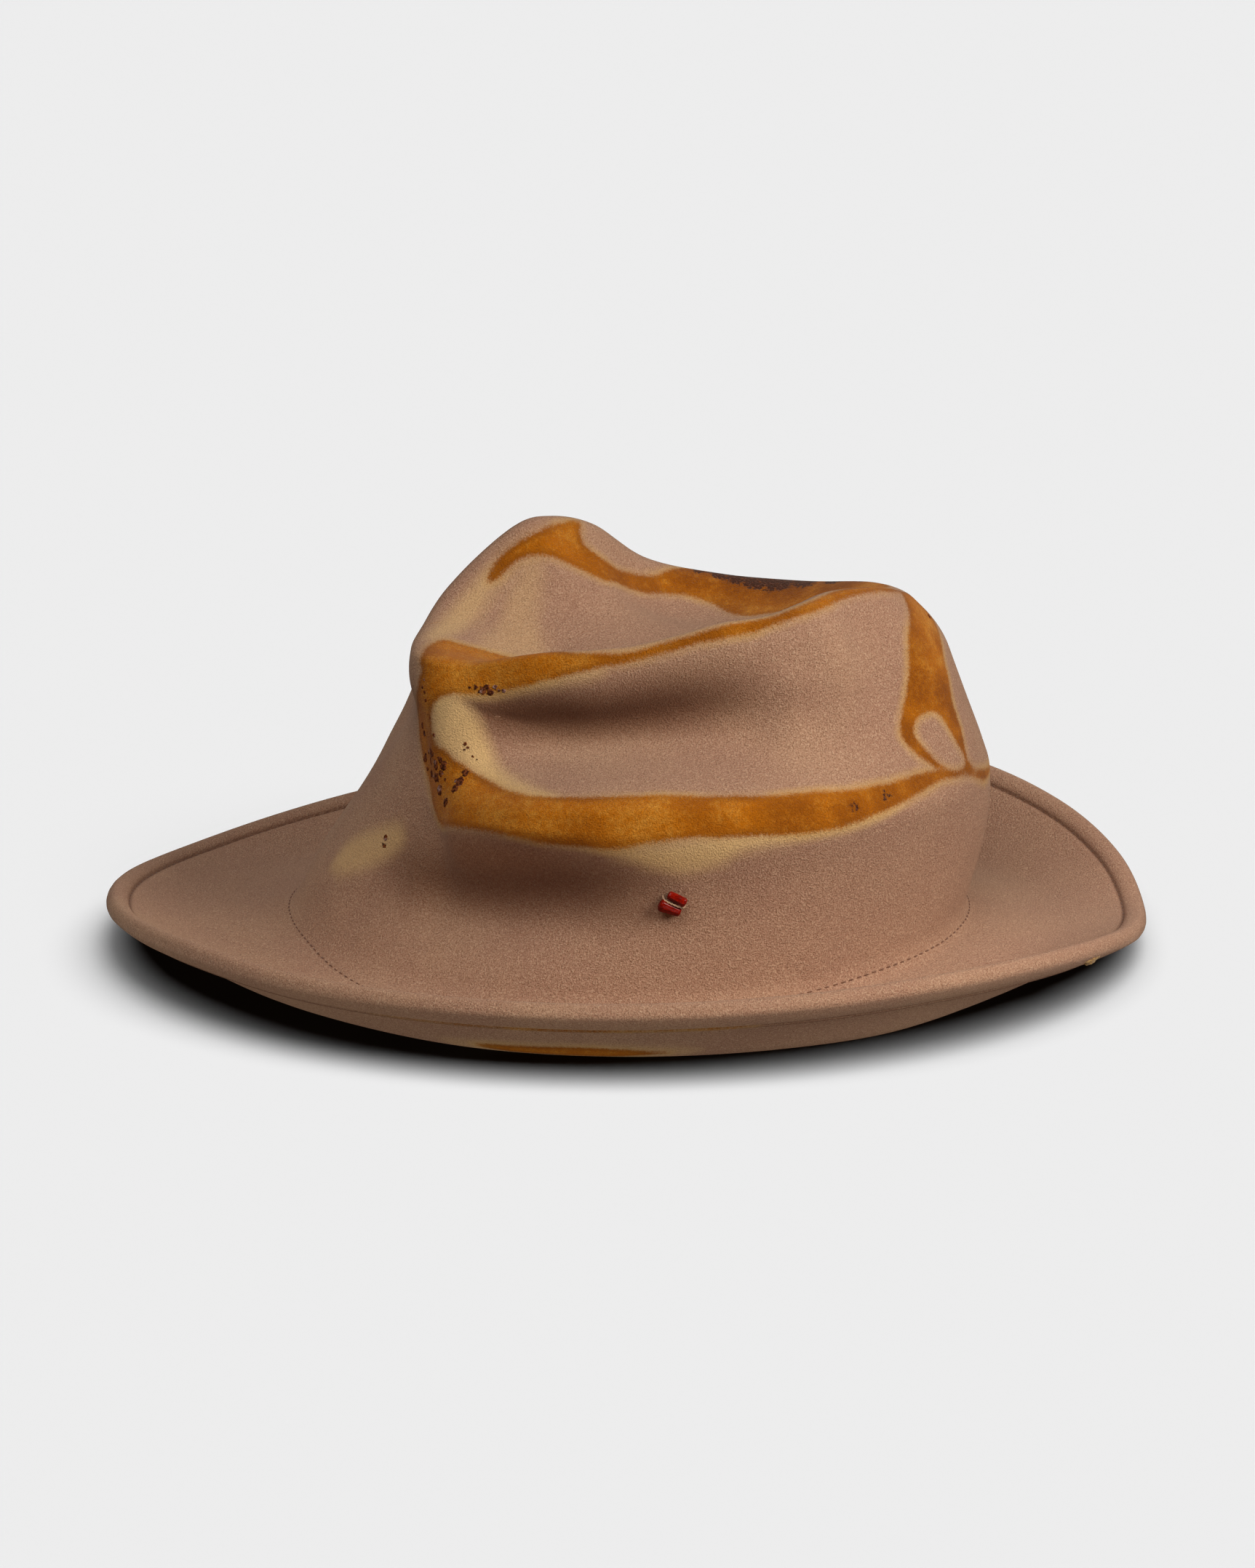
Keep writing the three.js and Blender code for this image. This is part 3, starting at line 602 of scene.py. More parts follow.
def line_distance(line, turns, stations, metric):
    """How far each place lies from an open line, in metres, and the share of the line passed there."""
    points = np.array(line, float)
    x, y = about(points, turns, stations, metric)
    dx = np.diff(x, axis=1)
    dy = np.diff(y, axis=1)
    t = np.clip(-(x[:, :-1] * dx + y[:, :-1] * dy) / np.maximum(dx**2 + dy**2, 1e-12), 0, 1)
    gaps = (x[:, :-1] + t * dx) ** 2 + (y[:, :-1] + t * dy) ** 2
    nearest = np.argmin(gaps, axis=1)
    picked = np.arange(len(gaps)), nearest
    return np.sqrt(gaps[picked]), (nearest + t[picked]) / (len(points) - 1)


def near_places(points, turns, stations, metric, turn_margin=14, station_margin=0.9):
    """Which places lie near a mark's points, and the turns, stations and metric of those."""
    first = points[0][0]
    offsets = [apart(turn, first) for turn, _ in points]
    middle = first + (min(offsets) + max(offsets)) / 2
    reach = (max(offsets) - min(offsets)) / 2 + turn_margin
    heights = [station for _, station in points]
    near = np.abs(apart(turns, middle)) <= reach
    near &= (stations > min(heights) - station_margin) & (stations < max(heights) + station_margin)
    return near, (turns[near], stations[near], [m[near] for m in metric])


def folded(fold, *places):
    """How strongly a soft fold that fades at both ends acts on each place."""
    near, close = near_places(fold["line"], *places)
    away, passed = line_distance(fold["line"], *close)
    strength = np.zeros(near.shape)
    strength[near] = np.exp(-((away / (fold["half_width"] * MM)) ** 2)) * (1 - (2 * passed - 1) ** 4)
    return strength


def felt_marks(marks, *places):
    """Scorch, singe, burn and brown at each place of a face, given as flat arrays."""
    scorch = np.full(places[0].shape, NO_SCORCH)
    for outline in marks["scorches"].values():
        near, close = near_places(outline, *places)
        scorch[near] = np.maximum(scorch[near], inside_distance(outline, *close))
    for outline in marks["bare"]:
        near, close = near_places(outline, *places)
        scorch[near] = np.minimum(scorch[near], -inside_distance(outline, *close))
    singe = np.zeros(scorch.shape)
    for mark in marks["singes"].values():
        near, close = near_places(mark["outline"], *places)
        soft = np.clip(inside_distance(mark["outline"], *close) / SINGE_EDGE + 0.5, 0, 1)
        singe[near] = np.maximum(singe[near], mark["strength"] * soft)
    burn = spotted(marks["burns"], *places)
    brown = spotted(marks["browns"], *places)
    return {"scorch": scorch, "singe": singe, "burn": burn, "brown": brown}


def spotted(spots, *places):
    """How strongly each place is marked by round spots with soft edges."""
    strength = np.zeros(places[0].shape)
    for mark in spots:
        spot = [(mark["turn"], mark["station"])] * 2
        near, close = near_places(spot, *places, turn_margin=20, station_margin=1.5)
        away, _ = line_distance(spot, *close)
        soft = np.clip((SPOT_END - away / (mark["radius"] * MM)) / (SPOT_END - SPOT_FULL), 0, 1)
        strength[near] = np.maximum(strength[near], mark["share"] * soft)
    return strength


def creased(*places):
    """How far each place is raised by the creases."""
    return sum(crease["height"] * MM * folded(crease, *places) for crease in CREASES)


def foot_seam(turns):
    """The station of the seam round the foot of the crown at each turn."""
    return smooth_column(FOOT_SEAM, turns, lambda row: row["station"])


def lumps(points):
    """Uneven swelling at each point."""
    raised = np.zeros(len(points))
    for lump in LUMPS:
        spots = points / lump["size"]
        raised += lump["height"] * np.array([noise.noise(Vector(spot)) for spot in spots])
    return raised


def swelling(distances, swell, groove):
    """How far the hem stands out at these distances in from the rim."""
    up = np.sin(np.clip(distances / swell["at"], 0, 1) * math.pi / 2)
    down = np.cos(np.clip((distances - swell["at"]) / (groove["at"] - swell["at"]), 0, 1) * math.pi / 2)
    lift = (swell["rim"] + (swell["top"] - swell["rim"]) * up) * down
    return lift - groove["depth"] * np.exp(-(((distances - groove["at"]) / groove["half_width"]) ** 2))


class FeltSurface:
    """The felt's upper face by rows and columns, dressed with its hem, creases and marks."""

    def __init__(self):
        self.turns = np.arange(COLUMNS) * 360 / COLUMNS
        self.corners = upper_corners(self.turns)
        rows, stations = rounded_sections(self.corners, "rows")
        hem, hem_stations = hem_rows(rows, stations, np.array(HEM_ROWS) * MM)
        beyond = stations > AFTER_HEM - 1e-6
        self.distances = np.concatenate([[0.0], np.array(HEM_ROWS) * MM, np.full(beyond.sum() - 1, 1.0)])
        self.rows = np.concatenate([rows[:1], hem, rows[beyond][:-1]])
        flat_stations = np.repeat(stations[beyond][:-1, None], COLUMNS, 1)
        self.stations = np.concatenate([np.zeros((1, COLUMNS)), hem_stations, flat_stations])
        self.top = rows[-1][0]
        self.metric = place_metric(self.rows, self.stations)
        self.turn_grid = np.repeat(self.turns[None], len(self.rows), 0)
        places = (self.turn_grid.ravel(), self.stations.ravel(), [m.ravel() for m in self.metric])
        shape = self.stations.shape
        marks = felt_marks(UPPER_MARKS, *places)
        self.marks = {name: values.reshape(shape) for name, values in marks.items()}
        # Painted shade: the hem's groove and the folds under the lip and under the ridge are darkened as if
        # in shadow
        groove = np.exp(-(((self.distances - HEM_GROOVE["at"]) / HEM_GROOVE["half_width"]) ** 2))
        painted_shade = np.repeat(HEM_GROOVE_SHADE * groove[:, None], COLUMNS, 1)
        for fold in PAINTED_SHADE_FOLDS:
            painted_shade = np.maximum(painted_shade, fold["share"] * folded(fold, *places).reshape(shape))
        self.marks["painted_shade"] = painted_shade
        seam = (self.stations - foot_seam(self.turn_grid)) * self.metric[2]
        raised = creased(*places).reshape(shape)
        raised += lumps(self.rows.reshape(-1, 3)).reshape(shape)
        raised -= FOOT_GROOVE["depth"] * np.exp(-((seam / FOOT_GROOVE["half_width"]) ** 2))
        fade = np.clip((STATION["top"] - self.stations) / FADE_TO_TOP, 0, 1)
        edge_fade = np.clip(self.stations / FADE_FROM_RIM, 0, 1)
        raised = raised * fade * edge_fade + swelling(self.distances, HEM_SWELL, HEM_GROOVE)[:, None]
        self.rows = self.rows + surface_normals(self.rows) * raised[..., None]

    def sample(self, turns, stations):
        """Points and outward normals at turns and stations on the upper face."""
        normals = surface_normals(self.rows)
        points = np.zeros((len(turns), 3))
        outward = np.zeros((len(turns), 3))
        for i, (turn, station) in enumerate(zip(turns, stations)):
            column = np.mod(turn, 360) / 360 * COLUMNS
            left = int(column) % COLUMNS
            share = column - int(column)
            for side, weight in ((left, 1 - share), ((left + 1) % COLUMNS, share)):
                known = self.stations[:, side]
                points[i] += weight * read_at(station, known, self.rows[:, side])
                outward[i] += weight * read_at(station, known, normals[:, side])
        return points, unit(outward)


def under_face(surface):
    """Rows of the felt's under face from the rim's roll inwards, with the hem's raw edge."""
    corners = surface.corners
    normal = leg_normals(corners, surface.turns)[:, 0]
    rim = corners[:, 0]
    rise = corners[:, 1]
    outward = unit(rim - rise)
    width = np.minimum(HEM, HEM_SHARE * np.linalg.norm(rim - rise, axis=-1))
    roll = []
    for step in range(1, ROLL_ROWS):
        angle = math.pi * step / ROLL_ROWS
        lift = HEM_SWELL["rim"] if angle < math.pi / 2 else UNDER_SWELL["rim"]
        depth = FELT - (FELT + lift) * math.cos(angle)
        roll.append(rim - normal * depth + outward * FELT * math.sin(angle))
    hem = []
    for distance in (0.0, *UNDER_HEM_ROWS):
        share = distance * MM / HEM
        depth = 2 * FELT + swelling(distance * MM, UNDER_SWELL, UNDER_GROOVE)
        hem.append(rim - outward * (width * share)[:, None] - normal * depth)
    ragged = np.array([noise.noise(Vector((turn * 0.9, 3.0, 0.0))) for turn in surface.turns])
    edge = rim - outward * (width + RAW_EDGE["ragged"] * ragged)[:, None]
    hem.append(edge - normal * (2 * FELT - RAW_EDGE["rounding"]))
    hem.append(edge - normal * (FELT + RAW_EDGE["end"]))
    below = corners_below(corners, surface.turns, FELT)
    below[:, 0] = edge - normal * FELT - outward * RAW_EDGE["tuck"]
    rows, stations = rounded_sections(below, "rows_below")
    beside = rows[0] + unit(rows[1] - rows[0]) * RAW_EDGE["beside"]
    rows = np.concatenate([rows[:1], [beside], rows[1:]])
    # The hem's rows take the stations up to 0.5, and those of the felt beyond it are spread after them
    stations = np.concatenate([[0.0, 0.02], stations[1:-1]]) + np.linspace(0.51, 0, len(stations))
    stations = np.concatenate([np.linspace(0, 0.5, len(hem)), stations])
    # Painted shade on the under face: the groove under the hem and the rows by the raw edge are darkened as
    # if in the hem's shadow
    painted_shade = np.zeros(len(stations))
    painted_shade[UNDER_GROOVE_ROW] = 1.0
    painted_shade[len(hem) - 3:len(hem) + 1] = (0.8, 1.0, 1.0, 1.0)
    rows = np.concatenate([hem, rows[:-1]])
    rows[..., 2] = np.maximum(rows[..., 2], 0)
    grid = np.repeat(stations[:, None], COLUMNS, 1)
    metric = [m.ravel() for m in place_metric(rows, grid)]
    turns = np.repeat(surface.turns[None], len(rows), 0)
    marks = felt_marks(UNDER_MARKS, turns.ravel(), grid.ravel(), metric)
    marks = {name: values.reshape(grid.shape) for name, values in marks.items()}
    marks["painted_shade"] = np.repeat(painted_shade[:, None], COLUMNS, 1)
    centre = below[0, -1]
    return np.array(roll), rows, centre, marks


def circle(sides):
    """Evenly spaced angles round a circle."""
    return [2 * math.pi * side / sides for side in range(sides)]


def ring_faces(ring_count, sides, start=0, closed=False):
    """Quads between successive rings of points round a tube, and back to the first if it is closed."""
    faces = []
    for ring in range(ring_count if closed else ring_count - 1):
        this = start + ring * sides
        following = start + (ring + 1) % ring_count * sides
        for side in range(sides):
            other = (side + 1) % sides
            faces.append((this + side, this + other, following + other, following + side))
    return faces


def turned_over(faces):
    """The same quads seen from their other side."""
    return [(a, d, c, b) for a, b, c, d in faces]


def new_object(name, vertices, faces, material, smooth=True):
    """A mesh object in the scene, with one material."""
    mesh = bpy.data.meshes.new(name)
    mesh.from_pydata([tuple(v) for v in vertices], [], faces)
    mesh.validate()
    mesh.polygons.foreach_set("use_smooth", [smooth] * len(mesh.polygons))
    mesh.materials.append(material)
    piece = bpy.data.objects.new(name, mesh)
    bpy.context.scene.collection.objects.link(piece)
    return piece


def build_felt(surface, material):
    """The whole felt as one closed mesh, with the marks as attributes of its points."""
    roll, below, under_centre, under_marks = under_face(surface)
    under_hem = (below[UNDER_GROOVE_ROW], -leg_normals(surface.corners, surface.turns)[:, 0])
    upper = surface.rows[::-1]
    rings = np.concatenate([upper, roll, below])
    vertices = np.concatenate([rings.reshape(-1, 3), [surface.top, under_centre]])
    top = len(rings) * COLUMNS
    faces = turned_over(ring_faces(len(rings), COLUMNS))
    last = (len(rings) - 1) * COLUMNS
    for i in range(COLUMNS):
        j = (i + 1) % COLUMNS
        faces.append((top, i, j))
        faces.append((last + i, top + 1, last + j))
    felt = new_object("felt", vertices, faces, material)
    for name, values in surface.marks.items():
        plain = NO_SCORCH if name == "scorch" else 0.0
        rolled = np.full(len(roll) * COLUMNS, plain)
        whole = np.concatenate([values[::-1].ravel(), rolled, under_marks[name].ravel(), [plain, plain]])
        attribute = felt.data.attributes.new(name, "FLOAT", "POINT")
        attribute.data.foreach_set("value", whole.astype(np.float32))
    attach(felt, "root")
    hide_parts("felt_body")
    return felt, under_hem


def set_input(node, name, value):
    """Set a node's input, or link another node's output to it."""
    socket = node.inputs[name]
    if isinstance(value, bpy.types.NodeSocket):
        node.id_data.links.new(value, socket)
    else:
        socket.default_value = value


class Nodes:
    """Short names for the nodes of one material."""

    def __init__(self, name):
        self.material = bpy.data.materials.new(name)
        self.material.use_nodes = True
        self.tree = self.material.node_tree
        self.shader = self.tree.nodes["Principled BSDF"]
        self.coordinates = self.tree.nodes.new("ShaderNodeTexCoord").outputs["Object"]

    def add(self, kind, **inputs):
        node = self.tree.nodes.new(kind)
        for name, value in inputs.items():
            set_input(node, name, value)
        return node

    def math(self, operation, first, second):
        node = self.tree.nodes.new("ShaderNodeMath")
        node.operation = operation
        set_input(node, 0, first)
        set_input(node, 1, second)
        return node.outputs[0]

    def plus(self, first, second):
        return self.math("ADD", first, second)

    def minus(self, first, second):
        return self.math("SUBTRACT", first, second)

    def times(self, first, second):
        return self.math("MULTIPLY", first, second)

    def noise(self, scale, detail, roughness, distortion=0.0):
        node = self.add("ShaderNodeTexNoise", Scale=scale, Detail=detail, Roughness=roughness,
                        Distortion=distortion, Vector=self.coordinates)
        return node.outputs["Fac"]

    def mix(self, share, first, second):
        node = self.tree.nodes.new("ShaderNodeMix")
        node.data_type = "RGBA"
        set_input(node, 0, share)
        set_input(node, 6, first)
        set_input(node, 7, second)
        return node.outputs[2]

    def smooth_step(self, value, low, high, to_low=0.0, to_high=1.0):
        node = self.tree.nodes.new("ShaderNodeMapRange")
        node.interpolation_type = "SMOOTHSTEP"
        set_input(node, 0, value)
        for i, number in enumerate((low, high, to_low, to_high), 1):
            set_input(node, i, number)
        return node.outputs[0]

    def attribute(self, name):
        node = self.tree.nodes.new("ShaderNodeAttribute")
        node.attribute_name = name
        return node.outputs["Fac"]

    def bump(self, height, distance, strength, below=None):
        node = self.add("ShaderNodeBump", Height=height, Distance=distance, Strength=strength)
        if below:
            set_input(node, "Normal", below)
        return node.outputs["Normal"]


def colour(hex_code):
    """A screen colour as linear values."""
    shares = [int(hex_code[i:i + 2], 16) / 255 for i in (1, 3, 5)]
    return (*((c / 12.92 if c <= 0.04045 else ((c + 0.055) / 1.055) ** 2.4) for c in shares), 1.0)


def felt_material():
    """Pinkish tan wool felt with a fine nap, scorched, singed and charred where the marks say, and darkened
    with painted shade in its shaded folds and grooves.
    """
    n = Nodes("wool_felt")
    grain = n.noise(2700, 2, 0.6)
    tufts = n.noise(1700, 2, 0.6)
    cloud = n.noise(28, 3, 0.55)
    broad = n.noise(9, 2, 0.5)

    plain = n.mix(n.smooth_step(cloud, 0.35, 0.65), colour("#b1856a"), colour("#bb9071"))
    plain = n.mix(n.smooth_step(broad, 0.4, 0.62, 0, 0.5), plain, colour("#ac8067"))
    plain = n.mix(n.smooth_step(grain, 0.3, 0.6, 0.7, 0.0), plain, colour("#74492f"))
    plain = n.mix(n.smooth_step(tufts, 0.48, 0.7, 0.0, 0.5), plain, colour("#dab391"))
    # Painted shade: darker felt where the folds, the hem's groove and the raw edge lie in shadow
    plain = n.mix(n.times(n.attribute("painted_shade"), 0.88), plain, colour("#5f361e"))

    singe_share = n.times(n.attribute("singe"), n.smooth_step(grain, 0.25, 0.75, 0.6, 1.0))
    felt = n.mix(singe_share, plain, colour("#e3b97c"))

    wander = n.minus(n.noise(60, 3, 0.5), 0.5)
    depth = n.plus(n.attribute("scorch"), n.times(wander, 2.6 * MM))
    fine = n.minus(n.noise(1300, 3, 0.75), 0.5)
    depth = n.plus(depth, n.times(fine, 3.4 * MM))
    patchy = n.smooth_step(n.noise(38, 2, 0.5), 0.38, 0.6, 0.0, 1.0)
    halo = n.smooth_step(depth, -3.4 * MM, 0.4 * MM, 0.0, 0.65)
    felt = n.mix(n.times(halo, n.plus(n.times(patchy, 0.6), 0.3)), felt, colour("#cfa05c"))
    brown = n.attribute("brown")
    mottle = n.times(n.noise(62, 8, 0.8), 0.62)
    mottle = n.plus(mottle, n.times(n.noise(620, 4, 0.7), 0.38))
    mottle = n.minus(mottle, n.times(brown, 0.07))
    toast = n.mix(n.smooth_step(mottle, 0.42, 0.68), colour("#bf6b02"), colour("#dc9636"))
    dark = n.times(brown, n.smooth_step(mottle, 0.36, 0.56, 0.95, 0.5))
    toast = n.mix(dark, toast, colour("#854402"))
    toast = n.mix(n.smooth_step(grain, 0.35, 0.65, 0.45, 0.0), toast, colour("#743b02"))
    inner = n.smooth_step(depth, 0.8 * MM, 3.4 * MM, 0.85, 0.0)
    toast = n.mix(n.times(inner, n.minus(1.0, n.times(patchy, 0.6))), toast, colour("#8f4d03"))
    felt = n.mix(n.smooth_step(depth, -0.9 * MM, 1.2 * MM), felt, toast)

    char_noise = n.noise(620, 4, 0.62)
    limit = n.minus(0.86, n.times(n.attribute("burn"), 0.5))
    over = n.minus(char_noise, limit)
    charred = n.smooth_step(over, 0.0, 0.04)
    crust = n.smooth_step(n.noise(1500, 3, 0.6), 0.5, 0.66)
    char = n.mix(crust, colour("#3a1a0c"), colour("#6e3f2c"))
    felt = n.mix(n.smooth_step(over, -0.08, 0.01, 0.0, 0.6), felt, colour("#6e3606"))
    felt = n.mix(n.times(charred, 0.93), felt, char)

    set_input(n.shader, "Base Color", felt)
    n.shader.inputs["Roughness"].default_value = 0.95
    n.shader.inputs["Specular IOR Level"].default_value = 0.12
    n.shader.inputs["Sheen Weight"].default_value = 0.12
    n.shader.inputs["Sheen Roughness"].default_value = 0.4
    n.shader.inputs["Sheen Tint"].default_value = (0.92, 0.8, 0.68, 1.0)
    nap = n.bump(grain, 0.6 * MM, 0.75)
    nap = n.bump(tufts, 0.8 * MM, 0.6, below=nap)
    nap = n.bump(charred, -0.5 * MM, 0.6, below=nap)
    set_input(n.shader, "Normal", nap)
    return n.material


def floor_material():
    """Matt pale paper."""
    n = Nodes("pale_paper")
    n.shader.inputs["Base Color"].default_value = (0.02, 0.02, 0.02, 1.0)
    n.shader.inputs["Roughness"].default_value = 1.0
    n.shader.inputs["Specular IOR Level"].default_value = 0.0
    return n.material


def build_floor():
    """A wide sheet of pale paper."""
    size = 6.0
    corners = [(-size, -size, 0), (size, -size, 0), (size, size, 0), (-size, size, 0)]
    floor = new_object("floor", corners, [(0, 1, 2, 3)], floor_material(), smooth=False)
    floor.visible_shadow = False
    floor.visible_diffuse = False
    return floor


def build_lamps(receivers):
    """Broad lamps, each of which falls on the hat or on the floor, and a faint even light."""
    world = bpy.data.worlds.new("studio")
    world.use_nodes = True
    background = world.node_tree.nodes["Background"]
    background.inputs["Color"].default_value = (1.0, 1.0, 1.0, 1.0)
    background.inputs["Strength"].default_value = WORLD_LIGHT
    bpy.context.scene.world = world
    groups = {}
    for name, pieces in receivers.items():
        groups[name] = bpy.data.collections.new(f"lit_{name}")
        for piece in pieces:
            groups[name].objects.link(piece)
    for lamp in DISC_LAMPS:
        data = add_lamp(lamp, "AREA", lamp["place"], groups)
        data.shape = "DISK"
        data.size = lamp["across"]
    for lamp in FAR_LAMPS:
        azimuth = math.radians(lamp["azimuth"])
        elevation = math.radians(lamp["elevation"])
        flat = math.cos(elevation)
        towards = Vector((flat * math.cos(azimuth), flat * math.sin(azimuth), math.sin(elevation)))
        data = add_lamp(lamp, "SUN", towards * LAMP_DISTANCE, groups)
        data.angle = math.radians(lamp["spread"])


def add_lamp(row, kind, place, groups):
    """A lamp that looks at the middle of the floor and falls on one group of pieces. Gives its data."""
    data = bpy.data.lights.new(row["name"], kind)
    data.energy = row["power"]
    data.color = row["tint"]
    lamp = bpy.data.objects.new(row["name"], data)
    lamp.location = place
    lamp.rotation_euler = Vector(place).to_track_quat("Z", "Y").to_euler()
    lamp.light_linking.receiver_collection = groups[row["on"]]
    bpy.context.scene.collection.objects.link(lamp)
    return data


def build_camera():
    """The photograph's view."""
    data = bpy.data.cameras.new("camera")
    data.lens = CAMERA["lens"]
    data.sensor_width = CAMERA["sensor"]
    camera = bpy.data.objects.new("camera", data)
    elevation = math.radians(CAMERA["elevation"])
    back = Vector((0, -math.cos(elevation), math.sin(elevation)))
    camera.location = Vector(CAMERA["look_at"]) + back * CAMERA["distance"]
    camera.rotation_euler = back.to_track_quat("Z", "Y").to_euler()
    bpy.context.scene.collection.objects.link(camera)
    bpy.context.scene.camera = camera


def tube_faces(ring_count, sides, start=0):
    """The faces of a tube of rings with a face over each end."""
    last = start + (ring_count - 1) * sides
    first_end = tuple(start + side for side in reversed(range(sides)))
    last_end = tuple(last + side for side in range(sides))
    return [*ring_faces(ring_count, sides, start), first_end, last_end]


def stitch_line(name, points, normals, stitch, material):
    """Short stitches along a closed line of points, each a flat loop that dips at both ends."""
    closed = np.concatenate([points, points[:1]])
    lengths = lengths_along(closed)
    closed_normals = np.concatenate([normals, normals[:1]])
    count = round(lengths[-1] / stitch["pitch"])
    vertices = []
    faces = []
    sides = 6
    spans = np.linspace(-0.5, 0.5, 7)
    for number in range(count):
        middle = (number + 0.5) / count * lengths[-1]
        swing = STITCH_SWING * stitch["pitch"] * noise.noise(Vector((number * 1.7, 5.0, 0.0)))
        rings = []
        for span in spans:
            at = np.mod(middle + swing + span * stitch["length"], lengths[-1])
            rings.append((read_at(at, lengths, closed), unit(read_at(at, lengths, closed_normals))))
        along = unit(rings[-1][0] - rings[0][0])
        start = len(vertices)
        for (point, up), span in zip(rings, spans):
            bow = math.sqrt(max(1 - (2 * span) ** 2, 0.02))
            across = unit(np.cross(along, up))
            centre = point + up * stitch["width"] * (STITCH_BOW * bow - STITCH_SUNK)
            reach = 0.5 * stitch["width"] * (STITCH_TIP + (1 - STITCH_TIP) * bow)
            for angle in circle(sides):
                vertices.append(centre + reach * (math.cos(angle) * across + 0.8 * math.sin(angle) * up))
        faces += tube_faces(len(spans), sides, start)
    piece = new_object(name, vertices, faces, material)
    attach(piece, "root")
    return piece


def build_stitches(surface, under_hem, material):
    """The stitches round the foot, in the hem's groove and under the hem."""
    points, normals = surface.sample(surface.turns, foot_seam(surface.turns))
    foot = stitch_line("foot_stitches", points, normals, FOOT_STITCH, material)
    groove = int(np.argmin(np.abs(surface.distances - HEM_GROOVE["at"])))
    normals = surface_normals(surface.rows)[groove]
    hem = stitch_line("hem_stitches", surface.rows[groove], normals, HEM_STITCH, material)
    points, normals = under_hem
    below = stitch_line("under_hem_stitches", points, normals, UNDER_STITCH, material)
    return [foot, hem, below]


def build_crusts(surface, material):
    """Small raised crusts of charred felt, each an uneven disc that lies on the felt."""
    vertices = []
    faces = []
    sides = 12
    for number, crust in enumerate(CRUSTS):
        turn = crust["turn"]
        station = crust["station"]
        near, _ = surface.sample([turn, turn + 1, turn], [station, station, station + CRUST_STEP])
        degree = near[1] - near[0]
        step = (near[2] - near[0]) / CRUST_STEP
        lean = np.dot(step, degree) / np.dot(degree, degree)
        up_station = step - lean * degree
        start = len(vertices)
        places = []
        for reach, lift in CRUST_RINGS:
            for angle in circle(sides):
                way = Vector((math.cos(angle) * CRUST_WAVES, math.sin(angle) * CRUST_WAVES, number * 4.1))
                wide = crust["across"] * MM * reach * (1 + CRUST_RAGGED * noise.noise(way))
                rise = wide * math.sin(angle) / np.linalg.norm(up_station)
                across = wide * math.cos(angle) / np.linalg.norm(degree) - lean * rise
                places.append((turn + across, station + rise, lift * MM))
        places.append((turn, station, CRUST_MIDDLE))
        points, outward = surface.sample([p[0] for p in places], [p[1] for p in places])
        vertices += list(points + outward * np.array([p[2] for p in places])[:, None])
        faces += ring_faces(len(CRUST_RINGS), sides, start)
        inner = start + (len(CRUST_RINGS) - 1) * sides
        for side in range(sides):
            faces.append((inner + side, inner + (side + 1) % sides, start + len(places) - 1))
    piece = new_object("charred_crusts", vertices, faces, material)
    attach(piece, "root")
    return piece


def build_drip(surface, material):
    """A small lumpy drip that clings to the hem's under face."""
    column = round(DRIP["turn"] / 360 * COLUMNS)
    rim = surface.corners[column, 0]
    outward = unit(rim - surface.corners[column, 1])
    down = -leg_normals(surface.corners, surface.turns)[column, 0]
    along = np.cross(down, outward)
    centre = rim - outward * DRIP["in"] + down * (2 * FELT - DRIP["sunk"])
    rings = 13
    around = 24
    vertices = []
    for ring in range(rings):
        fall = math.pi * (ring + 0.5) / rings
        wide = math.sin(fall)
        for angle in circle(around):
            way = np.array([math.cos(fall), wide * math.cos(angle), wide * math.sin(angle)])
            lump = 1.0
            for lumpy in (DRIP_LARGE, DRIP_SMALL):
                lump += lumpy["share"] * noise.noise(Vector(way * lumpy["often"]))
            reach = way * lump * DRIP["half"]
            vertices.append(centre + reach[0] * along + reach[1] * outward + reach[2] * down)
    faces = turned_over(ring_faces(rings, around))
    faces.append(tuple(range(around)))
    faces.append(tuple((rings - 1) * around + k for k in reversed(range(around))))
    piece = new_object("amber_drip", vertices, faces, material)
    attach(piece, "root")
    return piece


def drip_material():
    """Dried amber drip with felt fibres in it."""
    n = Nodes("dried_amber")
    specks = n.noise(900, 3, 0.6)
    amber = n.mix(n.smooth_step(specks, 0.4, 0.6), colour("#6b481a"), colour("#a88147"))
    set_input(n.shader, "Base Color", amber)
    n.shader.inputs["Roughness"].default_value = 0.6
    set_input(n.shader, "Normal", n.bump(specks, 0.3 * MM, 0.6))
    return n.material


def crust_material():
    """Charred felt: dark brown crust with paler, greyish ridges."""
    n = Nodes("charred_crust")
    cells = n.noise(1300, 3, 0.6)
    patch = n.noise(260, 2, 0.5)
    dark = n.mix(n.smooth_step(cells, 0.42, 0.6), colour("#3a180a"), colour("#7d4220"))
    pale = n.mix(n.smooth_step(cells, 0.4, 0.58), colour("#60382a"), colour("#ab877b"))
    set_input(n.shader, "Base Color", n.mix(n.smooth_step(patch, 0.55, 0.66), dark, pale))
    n.shader.inputs["Roughness"].default_value = 0.9
    n.shader.inputs["Specular IOR Level"].default_value = 0.1
    set_input(n.shader, "Normal", n.bump(cells, 0.3 * MM, 0.6))
    return n.material


def seat_frame(surface):
    """The beads' seat: its point on the wall, and its ways along the thread, out and up the wall."""
    height = SEAT["height"] * CROWN_HEIGHT
    stations = np.linspace(STATION["foot"], STATION["ridge"], 200)
    points, _ = surface.sample([SEAT["turn"]] * len(stations), stations)
    station = np.interp(height, points[:, 2], stations)
    point, outward = surface.sample([SEAT["turn"]], [station])
    outward = outward[0]
    side = unit(np.cross((0.0, 0.0, 1.0), outward))
    up = np.cross(outward, side)
    drop = math.radians(SEAT["drop"])
    along = math.cos(drop) * side - math.sin(drop) * up
    return point[0], along, outward, unit(np.cross(outward, along))


